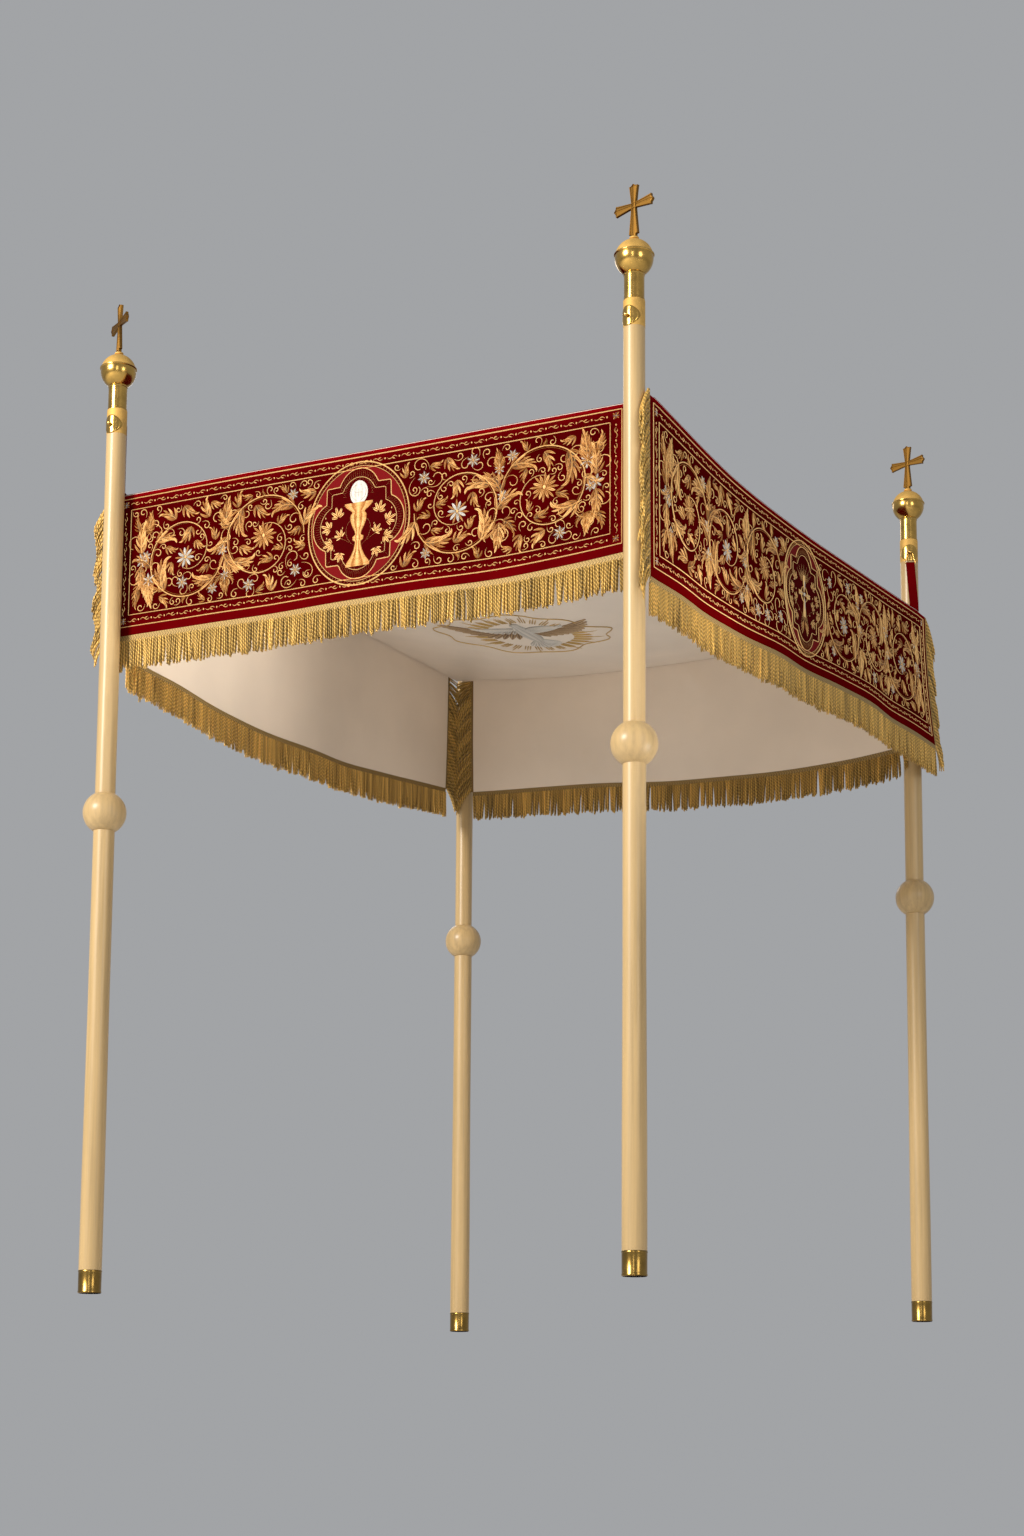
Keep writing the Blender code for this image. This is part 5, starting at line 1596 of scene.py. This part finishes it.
def make_dove():
    """The ceiling's dove seen from below: body, fanned tail, spread wings, rays and a wavy ring."""
    silver, gold, ring_line, shadow = Strokes(), Strokes(), Strokes(), Strokes()

    def place(x, y, height, way=1):
        across = DOVE_PLACE[0] + DOVE_SIZE * way * x
        along = DOVE_PLACE[1] - DOVE_SIZE * y
        level = ceiling_surface(across, along) - height
        return np.stack((across + CENTRE[0], along + CENTRE[1], level), axis=-1)

    mirrored = partial(place, way=-1)
    body = filled_part((0.0, 0.0), (-0.11, -0.09, -0.05, 0.0, 0.04, 0.065, 0.085, 0.1),
        (0.01, 0.022, 0.03, 0.032, 0.026, 0.017, 0.016, 0.004), place, 0.006, 0.55)
    for k in range(12):
        share = k / 11
        root = (0.02 + 0.115 * share, 0.026 + 0.02 * share)
        shadow.curl(root, -1.32 + 1.62 * share, 0.105 + 0.045 * share, 0.3, -0.1, 0.0115, PETAL, 0.0036,
            0.36 + 0.08 * (k % 2))
    for k in range(9):
        share = k / 8
        root = (0.02 + 0.1 * share, 0.034 + 0.018 * share)
        silver.curl(root, -1.15 + 1.5 * share, 0.055, 0.3, 0.0, 0.0095, PETAL, 0.005, 0.5)
    silver.curl((0.012, 0.03), 0.4, 0.165, -0.45, 0.0, 0.012, (0.3, 0.5), 0.006, 0.6)
    for k in range(5):
        silver.curl((0.002, -0.09), -pi / 2 + 0.08 + 0.15 * k, 0.11 - 0.006 * k, 0.0, 0.0, 0.011, PETAL,
            0.0034, 0.58)
    ring_line.curl((0.0, 0.098), pi / 2, 0.016, 0.0, 0.0, 0.003, LEAF, 0.003, 0.6)
    turn = np.linspace(0, tau, 361)[:-1]
    reach = 0.225 + 0.013 * np.sin(9 * turn) + 0.006 * np.sin(4 * turn + 1)
    ring = np.stack((-0.02 + reach * 1.3 * np.sin(turn), -0.03 + reach * 1.03 * np.cos(turn)), axis=-1)
    ring_line.path(ring, 0.0028, EVEN, 0.0026, 0.86, closed=True, count=220)
    for k in range(15):
        angle = -pi / 2 + pi * (k + 0.5) / 15
        root = np.array((0.0, -0.035)) + direction(angle) * 0.145
        for offset, long in ((0.0, 0.1 if k % 2 else 0.07), (0.008, 0.06), (-0.008, 0.06)):
            gold.curl(root + direction(angle + pi / 2) * offset, angle + offset * 2, long, 0.0, 0.0, 0.0026,
                (0.15, 0.5), 0.0018, 0.86)
    for name, strokes, extra, slot, finish in (
            ("Dove_Body", silver, [body], "satin_lining", "silver"),
            ("Dove_Wings", shadow, [], "satin_lining", "grey"),
            ("Dove_Rays", gold, ring_line.parts(place), "gold_fringe", "braid")):
        finish_piece(name, strokes.parts(place) + strokes.parts(mirrored) + extra, slot, finish, sharp=60)


# Fringe

def strand_parts(root, outward_way, lengths, reach, sway, radius, tone, rings=6, around=5):
    """Many fringe strands as round tubes.

    Each leaves its root downward. reach is how far it drifts along a level direction by its end,
    following a sine of its length, and sway bends it outward by the square of its length.
    """
    t = np.linspace(0, 1, rings)
    drift, drift_way = reach
    sideways = (drift[:, None] * np.sin(t * pi / 2) ** 0.9)[..., None]
    fall = (lengths[:, None] * t ** 1.08)[..., None]
    bend = (sway[:, None] * t ** 2)[..., None]
    path = root[:, None] + drift_way * sideways + DOWN * fall + outward_way * bend
    ahead = unit(np.gradient(path, axis=1))
    first = unit(np.cross(ahead, outward_way))
    second = np.cross(ahead, first)
    turn = full_turn(around)[:, None]
    thick = radius[:, None] * np.where(t > 0.97, 0.62, 1.0)
    ring = np.cos(turn) * first[:, :, None] + np.sin(turn) * second[:, :, None]
    tube = path[:, :, None] + thick[..., None, None] * ring
    phase = np.arange(len(lengths)) * 0.0037 % 0.019
    tone = np.broadcast_to(tone[:, None, None], tube.shape[:3])
    return tube_part(tube, lengths[:, None] * t + phase[:, None], tone)


def braid_part(edge_point, width_way, length, width, thickness, out):
    """Braid strip: a closed grid along a hem whose front rises in a herringbone of thread."""
    along = np.linspace(0, 1, int(length / 0.0023))
    share = np.linspace(0, 1, 7)[:, None]
    base = edge_point(along) + width_way * (share * width)[..., None]
    run = along * length
    chevron = np.abs(share - 0.5) * 2
    fade = np.clip(np.minimum(share, 1 - share) * 9, 0, 1)
    relief = BRAID_RELIEF * np.cos(tau * (run / BRAID_REPEAT + chevron)) * fade
    rounding = 0.0006 * (1 - (2 * share - 1) ** 4)
    front = base + out * (thickness / 2 + relief + rounding)[..., None]
    back = base - out * (thickness / 2 + 0.7 * relief)[..., None]
    # Painted highlight on the raised threads and painted shade in the hollows; the back face is a tenth
    # darker.
    tone = (0.5 + 0.35 * relief / BRAID_RELIEF).ravel()
    return *sheet_part(front, back, stacked(run, share * width)), np.concatenate((tone, tone - 0.1))


def fringe_pieces(kind, label, braid, strands):
    """A fringe's braid and strands as two pieces that stand for one node."""
    node = [f"fringe_{label}"]
    return [finish_piece(f"{kind}_Braid_{label}", [braid], "gold_fringe", "braid", node),
        finish_piece(f"{kind}_Strands_{label}", strands, "gold_fringe", "fringe", node)]


def make_bottom_fringe(side, sizes):
    """Braid heading and hanging strands along a side's hem."""
    low, high = along_range(side)
    out = outward(side)
    along_way = axis_vector(side)

    def hem(share):
        return side_surface(side, low + share * (high - low), 1.0) + out * SEWN + DOWN * 0.0004

    braid = braid_part(hem, DOWN, high - low, STRIP, 0.0032, out)
    chance = np.random.RandomState(11 + list(SIDES).index(side))
    count = int((high - low) / sizes.strand_pitch)
    share = (np.arange(count) + 0.5 + chance.uniform(-0.25, 0.25, count)) / count
    root = hem(share) + DOWN * (STRIP - 0.004)
    lengths = sizes.strand_length + 0.004 + chance.normal(0, 0.0034, count)
    bunch = tau * (high - low) * share / 0.052
    drift = 0.0026 * np.sin(bunch + 2.5 * np.sin(bunch * 0.13)) + chance.normal(0, 0.0018, count)
    sway = chance.normal(0.0, 0.0018, count)
    radius = sizes.strand_radius * chance.uniform(0.88, 1.12, count)
    tone = np.clip(0.54 + 0.08 * np.sin(bunch * 0.7) + chance.normal(0, 0.15, count), 0.05, 1)
    gap = along_way * (high - low) / count * 0.5
    strands = []
    # The middle row's tone is cut to 0.32: painted shade in the gaps between the outer strands.
    for level, shift, shade, rings, around in ((0.0018, 0.0, 1.0, 6, 5), (-0.0004, 1.0, 0.32, 3, 4),
            (-0.0026, 0.0, 1.0, 5, 4)):
        strands.append(strand_parts(root + out * level + gap * shift, out, lengths - 0.004 * shift,
            (drift, along_way), sway, radius, tone * shade, rings, around))
    return fringe_pieces("Fringe", side, braid, strands)


def make_side_fringe(side, end, reach, rise, sizes):
    """Braid heading up one end of a side, and strands that droop out and down from it."""
    low, high = along_range(side)
    edge = high if end else low
    away = axis_vector(side) * (1 if end else -1)
    out = outward(side)
    top, bottom = side_surface(side, np.array([edge, edge]), np.array([0.0, 1.0]))
    tall = float(np.linalg.norm(bottom - top))

    def hem(share):
        points = side_surface(side, np.full(share.shape, edge), share) + out * SEWN
        points[..., 2] += rise * (1 - share) ** 4
        return points

    braid = braid_part(hem, away, tall, SIDE_STRIP, 0.003, out)
    chance = np.random.RandomState(200 + 10 * list(SIDES).index(side) + end)
    count = int(tall / (sizes.strand_pitch * 0.62))
    share = (np.arange(count) + 0.5) / count
    zigzag = 0.0028 * np.sin(np.arange(count) * 2.4)
    root = hem(share) + away * (SIDE_STRIP - 0.003) + out * zigzag[:, None]
    lengths = sizes.strand_length * 0.98 + chance.normal(0, 0.004, count)
    drift = reach * (1 + 0.1 * np.sin(share * 23)) + chance.normal(0, 0.0022, count)
    sway = chance.normal(0.0005, 0.0018, count)
    radius = sizes.strand_radius * chance.uniform(0.88, 1.12, count)
    tone = np.clip(0.55 + 0.12 * np.sin(share * 40) + chance.normal(0, 0.18, count), 0.05, 1)
    if (side, end) in MEETING:
        lengths = lengths * np.clip(0.1 + 5 * share, 0, 1)
        drift = drift * 1.22
        sway = sway - 0.009
        # Painted shade: these strands are darkened in the back corner.
        tone = tone * 0.7
    strands = strand_parts(root, out, lengths, (drift, away), sway, radius, tone)
    label = f"{side}_{'end' if end else 'start'}"
    return fringe_pieces("Side", label, braid, [strands])


# Stage

def area_light(name, place, target, size, power, colour, spread=180.0):
    """A large soft light aimed at a point. spread is the angle of its cone in degrees."""
    data = bpy.data.lights.new(name, "AREA")
    data.shape = "RECTANGLE"
    data.size = size[0]
    data.size_y = size[1]
    data.energy = power
    data.spread = radians(spread)
    data.color = colour
    light = add_object(name, data)
    light.location = place
    light.rotation_euler = (Vector(target) - Vector(place)).to_track_quat("-Z", "Y").to_euler()


def make_camera():
    """Camera at the photograph's angle, with the lens moved up for upright poles."""
    yaw, pitch, roll = (radians(value) for value in (CAMERA_YAW, CAMERA_PITCH, CAMERA_ROLL))
    ahead = np.array((cos(yaw) * cos(pitch), sin(yaw) * cos(pitch), sin(pitch)))
    right = np.array((sin(yaw), -cos(yaw), 0.0))
    up = np.cross(right, ahead)
    right, up = right * cos(roll) + up * sin(roll), up * cos(roll) - right * sin(roll)
    data = bpy.data.cameras.new("Camera")
    data.sensor_width = 36.0
    data.lens = CAMERA_FOCUS / FRAME_HEIGHT * 36.0
    data.shift_y = CAMERA_SHIFT / FRAME_HEIGHT
    data.clip_end = 200.0
    camera = add_object("Camera", data)
    place = np.array(CAMERA_PLACE) + np.array((*CENTRE, 0.0))
    columns = np.column_stack((right, up, -ahead))
    camera.matrix_world = Matrix([[*columns[row], place[row]] for row in range(3)] + [[0, 0, 0, 1]])
    bpy.context.scene.camera = camera


def make_floor(colour):
    """Pale floor that shows from above only, as the photograph looks up from under the feet."""
    size = 30.0
    mesh = bpy.data.meshes.new("Floor")
    corners = [(-size, -size, -0.0004), (size, -size, -0.0004), (size, size, -0.0004),
        (-size, size, -0.0004)]
    mesh.from_pydata(corners, [], [(0, 1, 2, 3)])
    material, tree, shader = new_material("pale_floor", colour, 0.7)
    side = add_node(tree, "ShaderNodeNewGeometry").outputs["Backfacing"]
    clear = add_node(tree, "ShaderNodeBsdfTransparent").outputs["BSDF"]
    mix = add_node(tree, "ShaderNodeMixShader", {"Fac": side})
    tree.links.new(shader.outputs["BSDF"], mix.inputs[1])
    tree.links.new(clear, mix.inputs[2])
    tree.links.new(mix.outputs["Shader"], tree.nodes["Material Output"].inputs["Surface"])
    mesh.materials.append(material)
    add_object("Floor", mesh)


# Settings

def colour(name, description, default):
    """A colour that a user may change."""
    return FloatVectorProperty(name=name, description=description, subtype="COLOR", default=default, min=0,
        max=1)


class CanopyLooks(bpy.types.PropertyGroup):
    """Colours of the finishes."""
    wood: colour("Lacquer", "Cream lacquer of the staffs", (0.505, 0.345, 0.157))
    brass: colour("Brass", "Colour of the brass", (0.74, 0.45, 0.115))
    velvet: colour("Velvet", "Ground of the velvet", (0.1, 0.0006, 0.0014))
    velvet_sheen: colour("Velvet sheen", "Pile seen along the surface", (0.85, 0.012, 0.014))
    satin: colour("Satin", "Linings and ceiling", (0.84, 0.712, 0.572))
    gold: colour("Gold thread", "Middle tone of the gold embroidery", (0.44, 0.155, 0.021))
    gold_light: colour("Gold thread, light", "Lightest tone of the gold embroidery", (1.0, 0.65, 0.25))
    silver: colour("Silver thread", "Middle tone of the silver embroidery", (0.5, 0.46, 0.4))
    fringe: colour("Fringe", "Middle tone of the fringe", (0.5, 0.305, 0.074))
    braid: colour("Braid", "Middle tone of the fringe's heading", (0.3, 0.195, 0.068))
    bright: colour("Bright satin", "Red ground of the medallions", (0.165, 0.003, 0.004))
    floor: colour("Floor", "Pale floor", (0.74, 0.74, 0.75))


class CanopyFringe(bpy.types.PropertyGroup):
    """Sizes of the fringe's strands."""
    strand_pitch: FloatProperty(name="Strand pitch", description="Distance from strand to strand",
        unit="LENGTH", default=0.0061, min=0.002, max=0.02)
    strand_radius: FloatProperty(name="Strand radius", description="Radius of one strand", unit="LENGTH",
        default=0.00235, min=0.0005, max=0.005)
    strand_length: FloatProperty(name="Strand length", description="Length below the braid", unit="LENGTH",
        default=0.07, min=0.02, max=0.2)


class CanopyStage(bpy.types.PropertyGroup):
    """Strengths of the studio lights."""
    key: FloatProperty(name="Key light", description="Power of the large light on the left", default=880.0,
        min=0)
    fill: FloatProperty(name="Fill light", description="Power of the light on the right", default=62.0,
        min=0)
    low: FloatProperty(name="Low light", description="Power of the light under the canopy", default=1.9,
        min=0)
    world: FloatProperty(name="Surroundings", description="Strength of the even light", default=0.42, min=0)


# Operators

class CANOPY_OT_materials(bpy.types.Operator):
    """Make every finish"""
    bl_idname = "canopy.materials"
    bl_label = "Finishes"

    def execute(self, context):
        MATERIALS.update(make_materials(context.scene.canopy_looks))
        return {"FINISHED"}


class CANOPY_OT_poles(bpy.types.Operator):
    """Turn the staffs, knobs, ferrules and finials, and stand the crosses on them"""
    bl_idname = "canopy.poles"
    bl_label = "Poles"

    def execute(self, context):
        for key in POLES:
            make_staffs(key)
            make_finial(key)
            make_cross(key)
        return {"FINISHED"}


class CANOPY_OT_hangers(bpy.types.Operator):
    """Make the bosses, rings and straps that carry the canopy"""
    bl_idname = "canopy.hangers"
    bl_label = "Hangers"

    def execute(self, context):
        for key in POLES:
            make_boss(key)
            if key in HUNG_ON_RING:
                make_ring(key)
            make_strap(key)
        return {"FINISHED"}


class CANOPY_OT_cloth(bpy.types.Operator):
    """Make the velvet sides, linings, ceiling and roof, with their fringes"""
    bl_idname = "canopy.cloth"
    bl_label = "Cloth and fringes"

    def execute(self, context):
        sizes = context.scene.canopy_fringe
        for side in SIDES:
            velvet = make_velvet(side)
            lining = make_lining(side)
            trims = make_bottom_fringe(side, sizes)
            for fringe_side, end, reach, rise in SIDE_FRINGES:
                if fringe_side == side:
                    trims += make_side_fringe(side, end, reach, rise, sizes)
        ceiling, cover = make_roof()
        make_ceiling_cord()
        return {"FINISHED"}


class CANOPY_OT_embroidery(bpy.types.Operator):
    """Embroider the four sides and the ceiling"""
    bl_idname = "canopy.embroidery"
    bl_label = "Embroidery"

    def execute(self, context):
        for number, side in enumerate(SIDES):
            embroider(side, number)
        make_dove()
        return {"FINISHED"}


class CANOPY_OT_stage(bpy.types.Operator):
    """Set the floor, the lights, the surroundings and the camera"""
    bl_idname = "canopy.stage"
    bl_label = "Stage"

    def execute(self, context):
        looks = context.scene.canopy_looks
        stage = context.scene.canopy_stage
        make_floor(tuple(looks.floor))
        target = (0.0, 0.0, 1.7)
        area_light("Key", (-3.0, -8.4, 4.6), target, (2.4, 2.4), stage.key, (1.0, 0.96, 0.9))
        area_light("Fill", (5.8, -3.6, 2.6), target, (1.6, 2.2), stage.fill, (1.0, 0.97, 0.93))
        area_light("Strip", (2.4, -7.0, 2.8), target, (0.4, 2.8), stage.fill * 0.5, (1.0, 0.98, 0.95))
        area_light("Low", (3.2, -0.55, 0.45), (-0.72, -0.68, 1.84), (0.5, 0.5), stage.low,
            (1.0, 0.96, 0.91), 20.0)
        area_light("Rim", (-4.5, 4.5, 4.5), target, (2.0, 1.6), stage.fill * 0.4, (1.0, 1.0, 1.0))
        world = bpy.data.worlds.new("Studio")
        context.scene.world = world
        world.use_nodes = True
        background = world.node_tree.nodes["Background"]
        background.inputs["Color"].default_value = (0.86, 0.88, 0.91, 1.0)
        background.inputs["Strength"].default_value = stage.world
        context.scene.view_settings.view_transform = "Standard"
        make_camera()
        return {"FINISHED"}


class CANOPY_PT_panel(bpy.types.Panel):
    """Settings and steps of the canopy"""
    bl_idname = "CANOPY_PT_panel"
    bl_label = "Processional canopy"
    bl_space_type = "VIEW_3D"
    bl_region_type = "UI"
    bl_category = "Canopy"

    def draw(self, context):
        for group in ("canopy_looks", "canopy_fringe", "canopy_stage"):
            settings = getattr(context.scene, group)
            for name in settings.__annotations__:
                self.layout.prop(settings, name)
        for operator in OPERATORS:
            self.layout.operator(operator.bl_idname)


OPERATORS = (CANOPY_OT_materials, CANOPY_OT_poles, CANOPY_OT_hangers, CANOPY_OT_cloth, CANOPY_OT_embroidery,
             CANOPY_OT_stage)
SETTINGS = (("canopy_looks", CanopyLooks), ("canopy_fringe", CanopyFringe), ("canopy_stage", CanopyStage))


def register():
    """Register the settings, operators and panel."""
    for name, group in SETTINGS:
        bpy.utils.register_class(group)
        setattr(bpy.types.Scene, name, PointerProperty(type=group))
    for item in (*OPERATORS, CANOPY_PT_panel):
        bpy.utils.register_class(item)


def unregister():
    """Take the settings, operators and panel away again."""
    for item in (CANOPY_PT_panel, *OPERATORS):
        bpy.utils.unregister_class(item)
    for name, group in SETTINGS:
        delattr(bpy.types.Scene, name)
        bpy.utils.unregister_class(group)


def main():
    """Run every step in order."""
    register()
    bpy.ops.canopy.materials()
    bpy.ops.canopy.poles()
    bpy.ops.canopy.hangers()
    bpy.ops.canopy.cloth()
    bpy.ops.canopy.embroidery()
    bpy.ops.canopy.stage()


if __name__ == "__main__":
    main()
